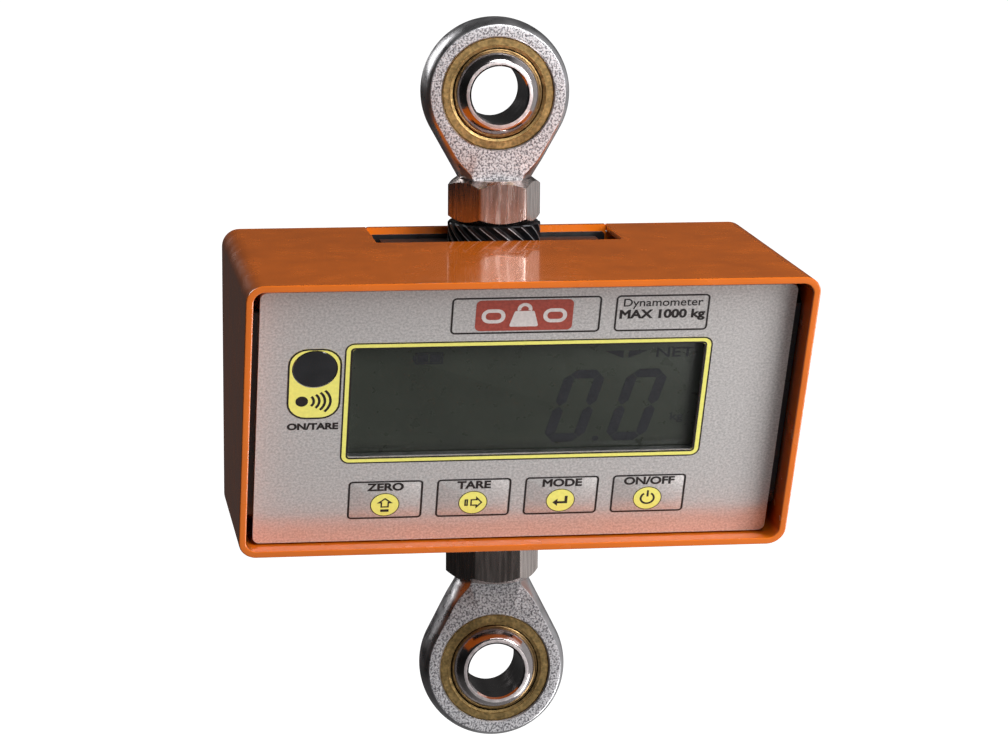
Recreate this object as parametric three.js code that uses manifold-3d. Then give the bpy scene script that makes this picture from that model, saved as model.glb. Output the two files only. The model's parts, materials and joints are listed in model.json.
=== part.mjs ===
/**
 * Crane scale (dynamometer): two ball-jointed eyes on a threaded load line, an S-type load cell between them,
 * and a sheet-steel housing with a display panel that leans down towards a person standing below.
 *
 * Millimetres. +Z is up, the display faces -Y, and +X is to the right of someone reading it.
 * The origin is the centre of the upper eye's pin hole, the point that the scale hangs from.
 */
import * as THREE from 'three';
import { mergeVertices } from 'three/addons/utils/BufferGeometryUtils.js';
import Module from 'manifold-3d';

const wasm = await Module();
wasm.setup();

// ---------------------------------------------------------------- driving sizes: load line

const BORE_R = 8; // pin hole through each ball
const BORE_CHAMFER = 0.4;
const BALL_LAND = 1.65; // flat ring around the pin hole
const BALL_WIDTH = 21;
const RACE_GAP = 0.2; // running gap between ball and race
const RACE_WALL = 1.6; // race beyond the ball, gap included
const RACE_WIDTH = 14.2;
const PRESS_GAP = 0.05; // race to head
const HEAD_WALL = 5.15; // head beyond the race
const HEAD_THICKNESS = 15;
const HEAD_CROWN = 2.2; // how far the head's sides bulge beyond its flat faces
const HEAD_RIDGE = 1; // straight middle of the bulging sides
const NECK_R = 10.4;
const NECK_FLARE = 0.75; // the round neck's widening into the head, per unit of height

const ROD_R = 7.9; // threaded shank
const THREAD_GAP = 0.15; // shank to nut, collar and load cell
const ROD_GRIP = 16.5; // shank inside the load cell

const UPPER_REACH = 24.5; // upper pin hole to its lock nut
const LOWER_REACH = 26; // lower pin hole to its lock nut
const NUT_FLATS = 23.6;
const UPPER_NUT_TURN = THREE.MathUtils.degToRad(5); // the lower nut is square to the housing
const NUT_H = 12.6;
const NUT_FACE = 0.92; // a nut's round end face, as a share of its width across the flats
const NUT_SLOPE = 0.75; // fall of a nut's chamfer, per unit of radius
const COLLAR_R = 13.25;
const COLLAR_TOOTH = 1;
const COLLAR_TEETH = 20;
const TOOTH_TOP = [0.5, 0.85]; // where a tooth's top starts and ends, as shares of its pitch
const COLLAR_LEAN = THREE.MathUtils.degToRad(52); // teeth away from the axis
const UPPER_COLLAR_H = 6.8;
const LOWER_COLLAR_H = 8.4;

// ---------------------------------------------------------------- driving sizes: load cell

const CELL_W = 63;
const CELL_H = 76.2;
const CELL_T = 25.4;
const CELL_ARM = 18; // each threaded arm, above and below its slot
const CELL_SLOT = 4;
const CELL_WEB = 12; // metal left at the closed end of each slot
const GAUGE_R = 7.5; // the two linked holes that thin the middle block
const GAUGE_PITCH = 20;
const GAUGE_LINK = 5;
const GAUGE_COVER_W = 44;
const GAUGE_COVER_H = 22;
const GAUGE_COVER_T = 1;
const GLAND_R = 5;
const GLAND_L = 10;
const GLAND_STUB_R = 2.9;
const GLAND_STUB_L = 6;
const OVERCUT = 1; // how far a cut runs on past the surface that it opens

// ---------------------------------------------------------------- driving sizes: housing

const WALL = 2;
const CORNER_R = 5; // outside corners of the tube
const CELL_END_GAP = 1.1; // load cell to the housing's top and bottom walls
const SPACER_L = 1.8; // load cell to rear cover
const COLLAR_ROOM = 1.25; // collar to rear cover
const SLOT_GAP = 0.45; // front of each slot to what passes through it
const SLOT_SIDE = 3.5; // load cell to the ends of each slot
const FRONT_LOW = 44; // load line to the lower lip
const TILT = THREE.MathUtils.degToRad(25.9); // display away from vertical
const COVER_T = 2;
const COVER_GAP = 0.3;
const BLOCK = 8; // threaded blocks that take the cover's screws
const BLOCK_INSET = 4; // block to the top and bottom walls
const ROOM = 0.5; // between the load cell, the battery tray and the blocks

// ---------------------------------------------------------------- driving sizes: display panel

const HOOD = 7.2; // panel behind the front opening, along its normal
const PANEL_SIDE_GAP = 2.4; // panel to the side walls, at least
const PANEL_END_GAP = 0.5; // panel to the top and bottom walls
const PANEL_R = 2;
const OVERLAY_T = 0.6;
const PLATE_T = 1.5;
const FIT = 0.3; // room around each piece that is let into the panel
const LAYER = 0.3; // air between stacked layers

const DISPLAY_W = 95.6;
const DISPLAY_H = 36.6;
const DISPLAY_BORDER = 2; // printed frame around the window
const DISPLAY_MARGIN = 21.5; // frame to the panel's right edge
const LCD_T = 2.8;
const LCD_OVERLAP = 1.5; // glass beyond the window
const HOLDER_WALL = 1.5;
const HOLDER_LEDGE = 3; // ledge under the glass, inwards

const KEY_W = 20.6;
const KEY_H = 13.2;
const KEY_SPACE = 3.9; // between keys
const KEY_RISE = 7.8; // keys above the panel's lower edge
const KEY_TO_DISPLAY = 6.4;
const KEY_R = 1.2;
const KEY_T = 2.4;
const KEY_NAMES = ['zero_key', 'tare_key', 'mode_key', 'power_key'];
const KEY_TRAVEL = 0.4;
const PLUNGER_R = 2.6;
const PLUNGER_DROP = 1.8; // plunger below the middle of its key
const PLUNGER_L = 0.9; // beyond the key's underside
const SWITCH_SIDE = 6;
const SWITCH_STEM_R = 1.7;
const SWITCH_STEM_L = 1.6;

const SENSOR_MARGIN = 7.6; // panel's left edge to the sensor's printed field
const SENSOR_FIELD_W = 15.2;
const SENSOR_FIELD_GAP = 0.3;
const SENSOR_R = 6.1;
const SENSOR_DROP = 8.3; // sensor below the top of the display's frame
const RECEIVER_W = 7;
const RECEIVER_T = 5;
const RECEIVER_LENS = 0.8; // lens, as a share of the receiver's half width

const BOARD_T = 1.6;
const BOARD_DEPTH = 9.4; // panel face to board
const BOARD_SIDE_GAP = 10.5; // board to the panel's side edges
const BOARD_LOW_GAP = 3;
const BOARD_HIGH_GAP = 8.5;
const POST_R = 2.6;
const POST_INSET = 4;
const BRACKET_T = 1.5;
const BRACKET_GAP = 0.1; // bracket to the side wall
const BRACKET_FOOT = 9;
const BRACKET_LEG = 12;
const BRACKET_END_GAP = 8;
const STUD_R = 1.5;
const STUD_L = 6;
const STUD_INSET = 6; // stud to the bracket's ends
const STUD_NUT_FLATS = 5.5;
const STUD_NUT_H = 2.2;
const PLUG_W = 9;
const PLUG_T = 5;
const CHIPS = [
  { u: -8, w: 14, h: 14, t: 1.4 },
  { u: 16, w: 8, h: 11, t: 1.4 },
];

// ---------------------------------------------------------------- driving sizes: battery and fasteners

const CELL_AA_R = 7.1;
const CELL_AA_L = 49.5;
const CELL_AA_NUB_R = 2.6;
const CELL_AA_NUB_L = 1;
const BATTERY_GAP = 0.5;
const TRAY_WALL = 1.5;
const CONTACT_T = 0.4;
const SIGNAL_CABLE_R = 1.8;
const POWER_LEAD_R = 1.1;
const CABLE_STUB = 3; // straight stretch where a cable starts
const PLUG_STUB = 6; // straight stretch where it goes into its plug
const SIGNAL_BEND = { out: 8, forward: 14, up: 2 }; // where the signal cable turns towards the board

const COVER_SCREW = { shank: 1.9, head: 3.8, headH: 2.4, length: 9 };
const CELL_SCREW = { shank: 2.4, head: 4.6, headH: 2.6, length: 12 };
const TRAY_SCREW = { shank: 1.4, head: 2.6, headH: 1.6, length: 3.2 };
const BOARD_SCREW = { shank: 1.2, head: 2.3, headH: 1.4, length: 5 };
const SCREW_GAP = 0.15;
const CELL_SCREW_SPREAD = 20; // each side of the load line

// ---------------------------------------------------------------- sizes that follow from those

const faceR = BORE_R + BALL_LAND;
const ballR = Math.hypot(faceR, BALL_WIDTH / 2);
const cupR = ballR + RACE_GAP;
const raceR = ballR + RACE_WALL;
const headR = raceR + PRESS_GAP + HEAD_WALL;
const holeR = ROD_R + THREAD_GAP;

const cellTop = -(UPPER_REACH + NUT_H + UPPER_COLLAR_H);
const cellZ = cellTop - CELL_H / 2;
const cellBottom = cellTop - CELL_H;
const lowerEyeZ = cellBottom - LOWER_COLLAR_H - NUT_H - LOWER_REACH;

const coverY = Math.max(CELL_T / 2 + SPACER_L, COLLAR_R + COLLAR_ROOM);
const rearY = coverY + COVER_T;
const innerH = CELL_H + 2 * CELL_END_GAP;
const housingH = innerH + 2 * WALL;
const slotFront = -(Math.max(CELL_T / 2, COLLAR_R) + SLOT_GAP);
const slotHalf = CELL_W / 2 + SLOT_SIDE;

const frameW = DISPLAY_W + 2 * DISPLAY_BORDER;
const frameH = DISPLAY_H + 2 * DISPLAY_BORDER;
const panelW = SENSOR_MARGIN + SENSOR_FIELD_W + SENSOR_FIELD_GAP + frameW + DISPLAY_MARGIN;
const trayW = 4 * CELL_AA_R + BATTERY_GAP * 3 + 2 * TRAY_WALL;
const trayD = 4 * CELL_AA_R + BATTERY_GAP * 2 + TRAY_WALL;
const trayL = CELL_AA_L + CELL_AA_NUB_L + 2 * (CONTACT_T + BATTERY_GAP + TRAY_WALL) + 2 * BATTERY_GAP;
const innerW = Math.max(panelW + 2 * PANEL_SIDE_GAP, CELL_W + 2 * (trayW + BLOCK + 3 * ROOM));
const housingW = innerW + 2 * WALL;
const innerR = CORNER_R - WALL;

// The panel's own frame: u along +X, v up the slope, n out of the panel's face.
const panelBack = OVERLAY_T + LAYER + PLATE_T;
const panelLow = -(innerH / 2 - PANEL_END_GAP) / Math.cos(TILT);
const panelHigh = (innerH / 2 - PANEL_END_GAP - panelBack * Math.sin(TILT)) / Math.cos(TILT);
const faceY = -FRONT_LOW - (housingH / 2) * Math.tan(TILT) + HOOD / Math.cos(TILT);
const displayU = panelW / 2 - DISPLAY_MARGIN - frameW / 2;
const keyV = panelLow + KEY_RISE + KEY_H / 2;
const displayV = keyV + KEY_H / 2 + KEY_TO_DISPLAY + frameH / 2;
const sensorU = -panelW / 2 + SENSOR_MARGIN + SENSOR_FIELD_W / 2;
const sensorV = displayV + frameH / 2 - SENSOR_DROP;
const boardLow = panelLow + BOARD_LOW_GAP;
const boardHigh = panelHigh - BOARD_HIGH_GAP;
const boardHalf = panelW / 2 - BOARD_SIDE_GAP;

const trayX = innerW / 2 - BLOCK - ROOM - trayW / 2;
const trayY = coverY - LAYER;

// ---------------------------------------------------------------- materials

function material(color, metalness, roughness, extra = {}) {
  return new THREE.MeshStandardMaterial({ color, metalness, roughness, ...extra });
}

const paint = material(0xe06a12, 0.1, 0.25);
const zinc = material(0xb9bbc0, 0.9, 0.45);
const nutSteel = material(0x77706e, 0.9, 0.35);
const blackSteel = material(0x17181a, 0.7, 0.4);
const ballSteel = material(0xc9c7c9, 1, 0.15);
const brass = material(0xa8873c, 0.9, 0.35);
const cellPaint = material(0x141517, 0.3, 0.5);
const film = material(0xa7a3a0, 0.2, 0.5);
const aluminium = material(0xb4b6b8, 0.9, 0.4);
const acrylic = material(0x9aa096, 0, 0.1, { transparent: true, opacity: 0.35 });
const lcdGreen = material(0x5c6358, 0, 0.3);
const darkPlastic = material(0x141416, 0, 0.4);
const boardGreen = material(0x1e5a36, 0.1, 0.5);
const cable = material(0x1b1b1d, 0, 0.6);
const redCable = material(0x9b1c1c, 0, 0.6);
const batteryWrap = material(0x2f3d57, 0.4, 0.35);

// ---------------------------------------------------------------- solids

/** A closed geometry as a solid, with its faces pointing out. */
function solid(geometry) {
  const bare = new THREE.BufferGeometry();
  bare.setAttribute('position', geometry.getAttribute('position'));
  bare.setIndex(geometry.getIndex());
  const merged = mergeVertices(bare, 1e-4);
  const point = merged.getAttribute('position').array;
  const corners = merged.getIndex().array;
  const kept = [];
  let volume = 0;
  for (let i = 0; i < corners.length; i += 3) {
    const [a, b, c] = corners.slice(i, i + 3);
    if (a === b || b === c || c === a) continue;
    kept.push(a, b, c);
    const [pa, pb, pc] = [a, b, c].map((k) => new THREE.Vector3().fromArray(point, 3 * k));
    volume += pa.dot(pb.cross(pc));
  }
  if (volume < 0) kept.reverse();
  return new wasm.Manifold(
    new wasm.Mesh({ numProp: 3, vertProperties: new Float32Array(point), triVerts: new Uint32Array(kept) })
  );
}

/** A solid as a named mesh. */
function piece(name, body, look) {
  const { vertProperties, triVerts } = body.getMesh();
  const geometry = new THREE.BufferGeometry();
  geometry.setAttribute('position', new THREE.BufferAttribute(new Float32Array(vertProperties), 3));
  geometry.setIndex(new THREE.BufferAttribute(new Uint32Array(triVerts), 1));
  geometry.computeVertexNormals();
  const mesh = new THREE.Mesh(geometry, look);
  mesh.name = name;
  return mesh;
}

/** A box from its lowest to its highest corner. */
function box(low, high) {
  const size = high.map((h, i) => h - low[i]);
  const middle = high.map((h, i) => (h + low[i]) / 2);
  return solid(new THREE.BoxGeometry(...size).translate(...middle));
}

/** A rectangle with round corners, centred on (x, y). */
function roundedRect(w, h, r, x = 0, y = 0) {
  const [a, b] = [w / 2, h / 2];
  const shape = new THREE.Shape();
  shape.moveTo(x - a + r, y - b);
  shape.lineTo(x + a - r, y - b);
  shape.absarc(x + a - r, y - b + r, r, -Math.PI / 2, 0);
  shape.lineTo(x + a, y + b - r);
  shape.absarc(x + a - r, y + b - r, r, 0, Math.PI / 2);
  shape.lineTo(x - a + r, y + b);
  shape.absarc(x - a + r, y + b - r, r, Math.PI / 2, Math.PI);
  shape.lineTo(x - a, y - b + r);
  shape.absarc(x - a + r, y - b + r, r, Math.PI, 1.5 * Math.PI);
  return shape;
}

/** An outline drawn in X and Z, carried along Y from one place to another. */
function alongY(shape, from, to, curveSegments = 2) {
  const geometry = new THREE.ExtrudeGeometry(shape, { depth: to - from, bevelEnabled: false, curveSegments });
  return solid(geometry.rotateX(Math.PI / 2).translate(0, to, 0));
}

/** An outline drawn in X and Y, carried along Z from one height to another. */
function alongZ(shape, from, to, curveSegments = 2) {
  const geometry = new THREE.ExtrudeGeometry(shape, { depth: to - from, bevelEnabled: false, curveSegments });
  return solid(geometry.translate(0, 0, from));
}

/** A cylinder on the Z axis from one height to another, moved to (x, y). */
function rodZ(r, from, to, x = 0, y = 0, sides = 24) {
  const geometry = new THREE.CylinderGeometry(r, r, to - from, sides).rotateX(Math.PI / 2);
  return solid(geometry.translate(x, y, (from + to) / 2));
}

/** A cylinder along Y from one place to another, through (x, z). */
function rodY(r, from, to, x = 0, z = 0, sides = 24) {
  const geometry = new THREE.CylinderGeometry(r, r, to - from, sides);
  return solid(geometry.translate(x, (from + to) / 2, z));
}

/** A profile of [radius, height] points turned around the Z axis. */
function turnedZ(points, sides = 24) {
  const profile = points.map(([r, h]) => new THREE.Vector2(r, h));
  return solid(new THREE.LatheGeometry(profile, sides).rotateX(Math.PI / 2));
}

/** Points of an arc of radius r about (0, 0), as [cos, sin] pairs, from one angle to another. */
function arc(r, from, to, steps) {
  return Array.from({ length: steps + 1 }, (_, i) => {
    const angle = from + ((to - from) * i) / steps;
    return [r * Math.cos(angle), r * Math.sin(angle)];
  });
}

/** A hexagon with two flats across Y. */
function hexagon(flats, turn = 0) {
  const corners = Array.from({ length: 6 }, (_, i) => {
    const angle = (i * Math.PI) / 3 + turn;
    return new THREE.Vector2(Math.cos(angle), Math.sin(angle)).multiplyScalar(flats / Math.sqrt(3));
  });
  return new THREE.Shape(corners);
}

/** A screw along Z: its head starts at z = 0 and goes up, and its shank goes down. */
function screw({ shank, head, headH, length }) {
  const profile = [[0, -length], [shank, -length], [shank, 0], [head, 0], [head, headH * 0.5]];
  return turnedZ([...profile, [head * 0.7, headH], [0, headH]], 12);
}

/** A round cable through a list of points. */
function cableAlong(points, r, steps = 14) {
  const path = new THREE.CatmullRomCurve3(points.map((p) => new THREE.Vector3(...p)));
  const section = new THREE.Shape().absarc(0, 0, r, 0, 2 * Math.PI);
  return solid(new THREE.ExtrudeGeometry(section, { steps, extrudePath: path, curveSegments: 4 }));
}

// ---------------------------------------------------------------- rod ends, nuts and collars

/** Head outline: a circle whose sides run down, tangent, to the neck at z = -drop, and a little on. */
function headOutline(drop) {
  const reach = Math.hypot(NECK_R, drop);
  const touch = Math.atan2(-drop, NECK_R) + Math.acos(headR / reach);
  const shape = new THREE.Shape();
  shape.moveTo(-NECK_R, -drop);
  shape.lineTo(-NECK_R, -drop - HEAD_CROWN);
  shape.lineTo(NECK_R, -drop - HEAD_CROWN);
  shape.lineTo(NECK_R, -drop);
  shape.absarc(0, 0, headR, touch, Math.PI - touch);
  return shape;
}

/** Rod end in one forging, its eye at the origin, its flats running down into a round neck. */
function rodEnd(drop, shank) {
  const plate = new THREE.ExtrudeGeometry(headOutline(drop), {
    depth: HEAD_RIDGE,
    bevelThickness: (HEAD_THICKNESS - HEAD_RIDGE) / 2,
    bevelSize: HEAD_CROWN,
    bevelOffset: -HEAD_CROWN,
    bevelSegments: 4,
    curveSegments: 16,
  });
  const head = solid(plate.rotateX(Math.PI / 2).translate(0, HEAD_RIDGE / 2, 0));
  const rise = drop + 2 * headR;
  const wide = NECK_R + NECK_FLARE * rise;
  const flare = turnedZ([[0, -drop], [NECK_R, -drop], [wide, -drop + rise], [0, -drop + rise]], 32);
  const rod = turnedZ([
    [0, -drop - shank],
    [ROD_R - 1, -drop - shank],
    [ROD_R, -drop - shank + 1],
    [ROD_R, -drop + 1],
    [0, -drop + 1],
  ]);
  const bore = rodY(raceR + PRESS_GAP, -HEAD_THICKNESS, HEAD_THICKNESS, 0, 0, 40);
  return head.intersect(flare).add(rod).subtract(bore);
}

/** Brass race: a ring with a spherical cup for the ball. */
function race() {
  const half = RACE_WIDTH / 2;
  const edge = Math.asin(half / cupR);
  const cup = arc(cupR, -edge, edge, 6);
  const profile = [[raceR, -half], [raceR, half], ...cup.reverse(), [raceR, -half]];
  return solid(new THREE.LatheGeometry(profile.map(([r, y]) => new THREE.Vector2(r, y)), 40));
}

/** Ball with flat sides and a pin hole. */
function ball() {
  const edge = Math.asin(BALL_WIDTH / 2 / ballR);
  const half = BALL_WIDTH / 2;
  const profile = [
    [BORE_R, -half + BORE_CHAMFER],
    [BORE_R + BORE_CHAMFER, -half],
    ...arc(ballR, -edge, edge, 8),
    [BORE_R + BORE_CHAMFER, half],
    [BORE_R, half - BORE_CHAMFER],
    [BORE_R, -half + BORE_CHAMFER],
  ];
  return solid(new THREE.LatheGeometry(profile.map(([r, y]) => new THREE.Vector2(r, y)), 40));
}

/** Hexagon nut between two heights, its corners chamfered down to a round face at both ends. */
function hexNut(flats, from, to, hole, sides = 36, turn = 0) {
  const corner = flats / Math.sqrt(3);
  const face = (flats / 2) * NUT_FACE;
  const chamfer = (corner - face) * NUT_SLOPE;
  const rim = [[face, from], [corner, from + chamfer], [corner, to - chamfer], [face, to]];
  const envelope = turnedZ([[0, from], ...rim, [0, to]], sides);
  const hex = alongZ(hexagon(flats, turn), from, to);
  return hex.intersect(envelope).subtract(rodZ(hole, from - OVERCUT, to + OVERCUT));
}

/** Lock collar between two heights: a ring with leaning teeth all round. */
function lockCollar(from, to) {
  const points = [];
  const turn = (2 * Math.PI) / COLLAR_TEETH;
  const corners = [
    [0, COLLAR_R - COLLAR_TOOTH],
    [TOOTH_TOP[0], COLLAR_R],
    [TOOTH_TOP[1], COLLAR_R],
  ];
  for (let i = 0; i < COLLAR_TEETH; i++) {
    for (const [share, r] of corners) {
      const angle = (i + share) * turn;
      points.push(new THREE.Vector2(Math.cos(angle), Math.sin(angle)).multiplyScalar(r));
    }
  }
  const outline = new THREE.Shape(points);
  const geometry = new THREE.ExtrudeGeometry(outline, { depth: to - from, steps: 2, bevelEnabled: false });
  const place = geometry.getAttribute('position');
  const twist = Math.tan(COLLAR_LEAN) / COLLAR_R;
  const upright = new THREE.Vector3(0, 0, 1);
  for (let i = 0; i < place.count; i++) {
    const point = new THREE.Vector3().fromBufferAttribute(place, i);
    point.applyAxisAngle(upright, -point.z * twist);
    place.setXYZ(i, point.x, point.y, point.z + from);
  }
  return solid(geometry).subtract(rodZ(holeR, from - OVERCUT, to + OVERCUT));
}

/** One end of the load line. Built hanging down from z = 0, and turned over for the lower end. */
function eyeAssembly(prefix, reach, collarH, nutTurn, turnedOver, z) {
  const group = new THREE.Group();
  const nutEnd = -reach - NUT_H;
  const collarEnd = nutEnd - collarH;
  group.add(piece(prefix + '_rod_end', rodEnd(reach, NUT_H + collarH + ROD_GRIP), zinc));
  group.add(piece(prefix + '_bearing_race', race(), brass));
  group.add(piece(prefix + '_ball', ball(), ballSteel));
  group.add(piece(prefix + '_lock_nut', hexNut(NUT_FLATS, nutEnd, -reach, holeR, 36, nutTurn), nutSteel));
  group.add(piece(prefix + '_lock_collar', lockCollar(collarEnd, nutEnd), blackSteel));
  if (turnedOver) group.rotation.y = Math.PI;
  group.position.z = z;
  return group;
}

// ---------------------------------------------------------------- load cell

/** Two distances along an axis, mirrored for side = -1, lowest first. */
function mirrored(side, p, q) {
  return [side * p, side * q].sort((a, b) => a - b);
}

/** S-shaped block: an arm above and below, each parted from the middle by a slot open at one side. */
function loadCell() {
  const [a, t] = [CELL_W / 2, CELL_T / 2];
  const armEnd = CELL_H / 2 - CELL_ARM;
  const through = [-t - OVERCUT, t + OVERCUT];
  const pocket = roundedRect(GAUGE_COVER_W + 2 * COVER_GAP, GAUGE_COVER_H + 2 * COVER_GAP, 2);
  const pocketFloor = t - GAUGE_COVER_T - COVER_GAP;
  let body = box([-a, -t, -CELL_H / 2], [a, t, CELL_H / 2]);
  for (const side of [1, -1]) {
    const [left, right] = mirrored(side, CELL_WEB - a, a + OVERCUT);
    const [low, high] = mirrored(side, armEnd - CELL_SLOT, armEnd);
    body = body.subtract(box([left, through[0], low], [right, through[1], high]));
    body = body.subtract(rodZ(holeR, ...mirrored(side, armEnd - OVERCUT, CELL_H / 2 + OVERCUT)));
    body = body.subtract(rodY(GAUGE_R, ...through, (side * GAUGE_PITCH) / 2, 0, 20));
    body = body.subtract(alongY(pocket, ...mirrored(side, pocketFloor, t + OVERCUT)));
    body = body.subtract(cellScrewHole(side));
  }
  const [linkX, linkZ] = [GAUGE_PITCH / 2, GAUGE_LINK / 2];
  const link = box([-linkX, through[0], -linkZ], [linkX, through[1], linkZ]);
  const glandHole = rodZ(GLAND_STUB_R + SCREW_GAP, 0, a, 0, 0, 20).rotate([0, -90, 0]);
  return body.subtract(link).subtract(glandHole);
}

/** Blind hole in the rear of the lower arm for a screw through the cover. */
function cellScrewHole(side) {
  const depth = CELL_SCREW.length - COVER_T - (coverY - CELL_T / 2) + OVERCUT;
  const z = -CELL_H / 2 + CELL_ARM / 2;
  return rodY(CELL_SCREW.shank + SCREW_GAP, CELL_T / 2 - depth, CELL_T, side * CELL_SCREW_SPREAD, z, 12);
}

function gaugeCover(side) {
  const ends = mirrored(side, CELL_T / 2 - GAUGE_COVER_T, CELL_T / 2);
  return alongY(roundedRect(GAUGE_COVER_W, GAUGE_COVER_H, 2), ...ends);
}

/** Cable gland in the cell's left side, along -X. */
function cellGland() {
  const profile = [
    [0, -GLAND_STUB_L],
    [GLAND_STUB_R, -GLAND_STUB_L],
    [GLAND_STUB_R, 0],
    [GLAND_R, 0],
    [GLAND_R, GLAND_L * 0.5],
    [GLAND_R * 0.85, GLAND_L * 0.55],
    [GLAND_R * 0.85, GLAND_L * 0.8],
    [GLAND_R * 0.6, GLAND_L],
    [0, GLAND_L],
  ];
  return turnedZ(profile, 16).rotate([0, -90, 0]).translate([-CELL_W / 2, 0, 0]);
}

function loadCellGroup() {
  const group = new THREE.Group();
  group.add(piece('load_cell', loadCell(), cellPaint));
  group.add(piece('gauge_cover_front', gaugeCover(-1), aluminium));
  group.add(piece('gauge_cover_rear', gaugeCover(1), aluminium));
  group.add(piece('cell_cable_gland', cellGland(), blackSteel));
  group.position.z = cellZ;
  return group;
}

// ---------------------------------------------------------------- housing

/** The tilted frame of the display panel, as a matrix. */
function panelMatrix() {
  return new THREE.Matrix4().makeRotationX(Math.PI / 2 + TILT).setPosition(0, faceY, cellZ);
}

/** A point of the panel's frame in the part's frame. */
function fromPanel(u, v, n) {
  return new THREE.Vector3(u, v, n).applyMatrix4(panelMatrix()).toArray();
}

/** Square tube, its front cut to lean over the panel, with a slot for the load line and welded blocks. */
function housingShell() {
  const deep = housingH + Math.abs(faceY);
  const outline = roundedRect(housingW, housingH, CORNER_R);
  outline.holes.push(roundedRect(innerW, innerH, innerR));
  const tube = alongY(outline, faceY - deep, rearY, 3).translate([0, 0, cellZ]);
  const front = new THREE.BoxGeometry(2 * housingW, 4 * deep, 4 * deep).translate(0, 0, HOOD + 2 * deep);
  const slots = box([-slotHalf, slotFront, cellZ - housingH], [slotHalf, rearY + 1, cellZ + housingH]);
  let shell = tube.subtract(solid(front.applyMatrix4(panelMatrix()))).subtract(slots);
  for (const [x, z] of coverCorners()) {
    shell = shell.add(threadedBlock(x, z).translate([0, 0, cellZ]));
  }
  return shell;
}

/** Places of the four threaded blocks and their screws, as [x, z]. */
function coverCorners() {
  const x = innerW / 2 - BLOCK / 2;
  const z = innerH / 2 - BLOCK_INSET - BLOCK / 2;
  return [[-x, z], [x, z], [-x, -z], [x, -z]];
}

/** Places of the two screws that hold the load cell, as [x, z]. */
function cellCorners() {
  const z = -CELL_H / 2 + CELL_ARM / 2;
  return [[-CELL_SCREW_SPREAD, z], [CELL_SCREW_SPREAD, z]];
}

/** Places of the two screws that hold the battery tray, as [x, z]. */
function trayCorners() {
  const z = trayL / 4;
  return [[trayX, z], [trayX, -z]];
}

function rearCover() {
  const plate = roundedRect(innerW - 2 * COVER_GAP, innerH - 2 * COVER_GAP, innerR);
  const tab = roundedRect(2 * (slotHalf - COVER_GAP), housingH, 0.5);
  let cover = alongY(plate, coverY, rearY).add(alongY(tab, coverY, rearY, 1));
  const holes = [[coverCorners(), COVER_SCREW], [cellCorners(), CELL_SCREW], [trayCorners(), TRAY_SCREW]];
  for (const [places, size] of holes) {
    for (const [x, z] of places) {
      cover = cover.subtract(rodY(size.shank + SCREW_GAP, coverY - 1, rearY + 1, x, z, 12));
    }
  }
  return cover;
}

/** Block on a side wall, its outer face sunk into the wall as a weld, its rear face against the cover. */
function threadedBlock(x, z) {
  const half = BLOCK / 2;
  const weld = (WALL / 2) * Math.sign(x);
  const [left, right] = [x - half + Math.min(weld, 0), x + half + Math.max(weld, 0)];
  const block = box([left, coverY - BLOCK, z - half], [right, coverY, z + half]);
  return block.subtract(rodY(COVER_SCREW.shank + SCREW_GAP, coverY - BLOCK - 1, coverY + 1, x, z, 12));
}

/** A screw put in from behind at (x, z). */
function rearScrew(size, x, z) {
  return screw(size).rotate([-90, 0, 0]).translate([x, rearY, z]);
}

function spacer(x, z) {
  const ring = rodY(CELL_SCREW.head, CELL_T / 2, coverY, x, z, 16);
  return ring.subtract(rodY(CELL_SCREW.shank + SCREW_GAP, 0, 2 * coverY, x, z, 12));
}

function housingGroup() {
  const group = new THREE.Group();
  group.add(piece('rear_cover', rearCover(), paint));
  coverCorners().forEach(([x, z], i) => {
    group.add(piece('cover_screw_' + (i + 1), rearScrew(COVER_SCREW, x, z), zinc));
  });
  cellCorners().forEach(([x, z], i) => {
    group.add(piece('cell_spacer_' + (i + 1), spacer(x, z), zinc));
    group.add(piece('cell_screw_' + (i + 1), rearScrew(CELL_SCREW, x, z), zinc));
  });
  group.position.z = cellZ;
  return group;
}

// ---------------------------------------------------------------- display panel, in its own tilted frame

/** Places of the keys, as [u, v]. */
function keyPlaces() {
  return KEY_NAMES.map((_, i) => [displayU + (i - (KEY_NAMES.length - 1) / 2) * (KEY_W + KEY_SPACE), keyV]);
}

/** A sheet of the panel between two depths, with a window for each piece let into it. */
function panelSheet(from, to) {
  const middle = (panelLow + panelHigh) / 2;
  const sensorHole = SENSOR_R + FIT;
  const sheet = roundedRect(panelW, panelHigh - panelLow, PANEL_R, 0, middle);
  sheet.holes.push(roundedRect(DISPLAY_W + 2 * FIT, DISPLAY_H + 2 * FIT, 1, displayU, displayV));
  sheet.holes.push(roundedRect(2 * sensorHole, 2 * sensorHole, sensorHole, sensorU, sensorV));
  for (const [u, v] of keyPlaces()) {
    sheet.holes.push(roundedRect(KEY_W + 2 * FIT, KEY_H + 2 * FIT, KEY_R + FIT, u, v));
  }
  return alongZ(sheet, from, to);
}

/** Places of the studs on the back of the panel, as [u, v]. */
function studPlaces() {
  const u = panelW / 2 - BRACKET_FOOT / 2;
  const low = panelLow + BRACKET_END_GAP + STUD_INSET;
  const high = panelHigh - BRACKET_END_GAP - STUD_INSET;
  return [[-u, high], [u, high], [-u, low], [u, low]];
}

function frontPlate() {
  let plate = panelSheet(-panelBack, -OVERLAY_T - LAYER);
  for (const [u, v] of studPlaces()) {
    plate = plate.add(rodZ(STUD_R, -panelBack - STUD_L, -panelBack + PLATE_T / 2, u, v, 12));
  }
  for (const [u, v] of postPlaces()) {
    plate = plate.add(boardPost(u, v));
  }
  return plate;
}

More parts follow.
